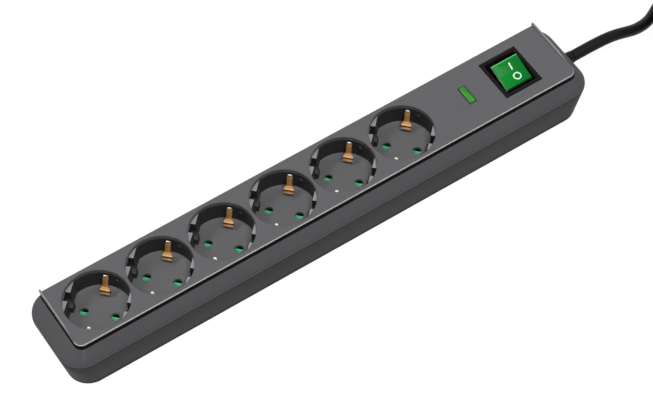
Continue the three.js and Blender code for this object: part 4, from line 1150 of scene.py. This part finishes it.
plugObject = install(plugBody(), "cordBlack", "cord_black", "plug_body")


def plugPin(side):
    low = plug["height"] + plug["gap"]
    high = low + plug["pinLength"]
    pin = addDrum("plugPin", side * plug["pinGap"] / 2, 0, low, high, plug["pinRadius"], 40)
    return roundEdges(pin, above(high), plug["pinRound"], 4)


def plugEarth(side):
    # a bent strip that lies in the groove on one side of the plug
    y = side * (plug["radius"] - plug["grooveDepth"] + plug["stripIn"])
    strip = addBox("plugEarth", 0, y, *plug["stripHalf"], plug["grooveLow"] + plug["gap"], plug["height"] - 1)
    return softenAll(strip, 0.25)


for make, name, node in ((plugPin, "plugPin", "plug_pin"), (plugEarth, "plugEarth", "plug_earth")):
    for number, side in ((1, -1), (2, 1)):
        piece = settle(placePlug(smooth(make(side), 40)), f"{name}{number}")
        install(piece, "platedSteel", "steel", f"{node}_{number}")
print("gland, tie and plug done")

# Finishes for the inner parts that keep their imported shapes
innerFinishes = {
    "innerBlack": ["contact_carrier"], "innerIvory": ["cord_clamp", "thermal_fuse"],
    "busBrass": ["neutral_bar", "line_bar", "switch_terminal_1", "switch_terminal_2"],
    "clipCopper": ["earth_bar", "switch_lever"], "boardGreen": ["surge_board"],
    "varistorBlue": ["varistor_1", "varistor_2", "varistor_3"], "lampMilk": ["indicator_lamp"],
    "platedSteel": ["clamp_screw_1", "clamp_screw_2"], "cordBlack": ["inner_sheath"],
    "wireBrown": ["lead_line", "lead_switched"], "wireBlue": ["lead_neutral"],
    "wireGreenYellow": ["lead_earth"],
}
for number in range(1, 7):
    innerFinishes["platedSteel"] += [f"shutter_spring_{number}", f"housing_screw_{number}"]
for finishName, nodeNames in innerFinishes.items():
    for nodeName in nodeNames:
        paint(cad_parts[nodeName], finishName)
print("inner parts painted")

# Floor, world and lamps: each lamp's power, the direction it comes from and its width in degrees
studio = dict(floor=0.3, glow=0.8, glowStrength=1.2, sky=0.15, skyColour=(0.96, 0.98, 1))
lamps = {
    "behind": dict(power=0.9, source=(-0.42, 0.36, 0.83), wide=14),
    "front": dict(power=2.45, source=(-0.02, -0.36, 0.93), wide=24),
}


def addFloor():
    deselectAll()
    bpy.ops.mesh.primitive_plane_add(size=12, location=(0, 0, -0.0002))
    floor = settle(bpy.context.object, "floor")
    finish = Finish("floorWhite")
    matt = finish.add("ShaderNodeBsdfDiffuse", inputs={"Color": (*[studio["floor"]] * 3, 1)})
    white = finish.add("ShaderNodeEmission", inputs={"Strength": studio["glowStrength"]})
    mixed = finish.add("ShaderNodeMixShader",
                       inputs={0: finish.seenDirectly() * studio["glow"], 1: matt, 2: white})
    floor.data.materials.append(finish.output(mixed))


def addWorld():
    scene.world = bpy.data.worlds.new("Studio")
    around = Finish("Studio", scene.world)
    sky = around.add("ShaderNodeBackground", inputs={
        "Color": (*studio["skyColour"], 1), "Strength": studio["sky"]})
    white = around.add("ShaderNodeBackground", inputs={"Color": (1, 1, 1, 1)})
    mixed = around.add("ShaderNodeMixShader", inputs={0: around.seenDirectly(), 1: sky, 2: white})
    around.output(mixed, "World")


def addLamps():
    for name, look in lamps.items():
        data = bpy.data.lights.new(name, "SUN")
        data.energy = look["power"]
        data.angle = math.radians(look["wide"])
        addObject(name, data).rotation_euler = Vector(look["source"]).to_track_quat("Z", "Y").to_euler()


addFloor()
addWorld()
addLamps()
scene.view_settings.view_transform = "Standard"
print("studio ready")
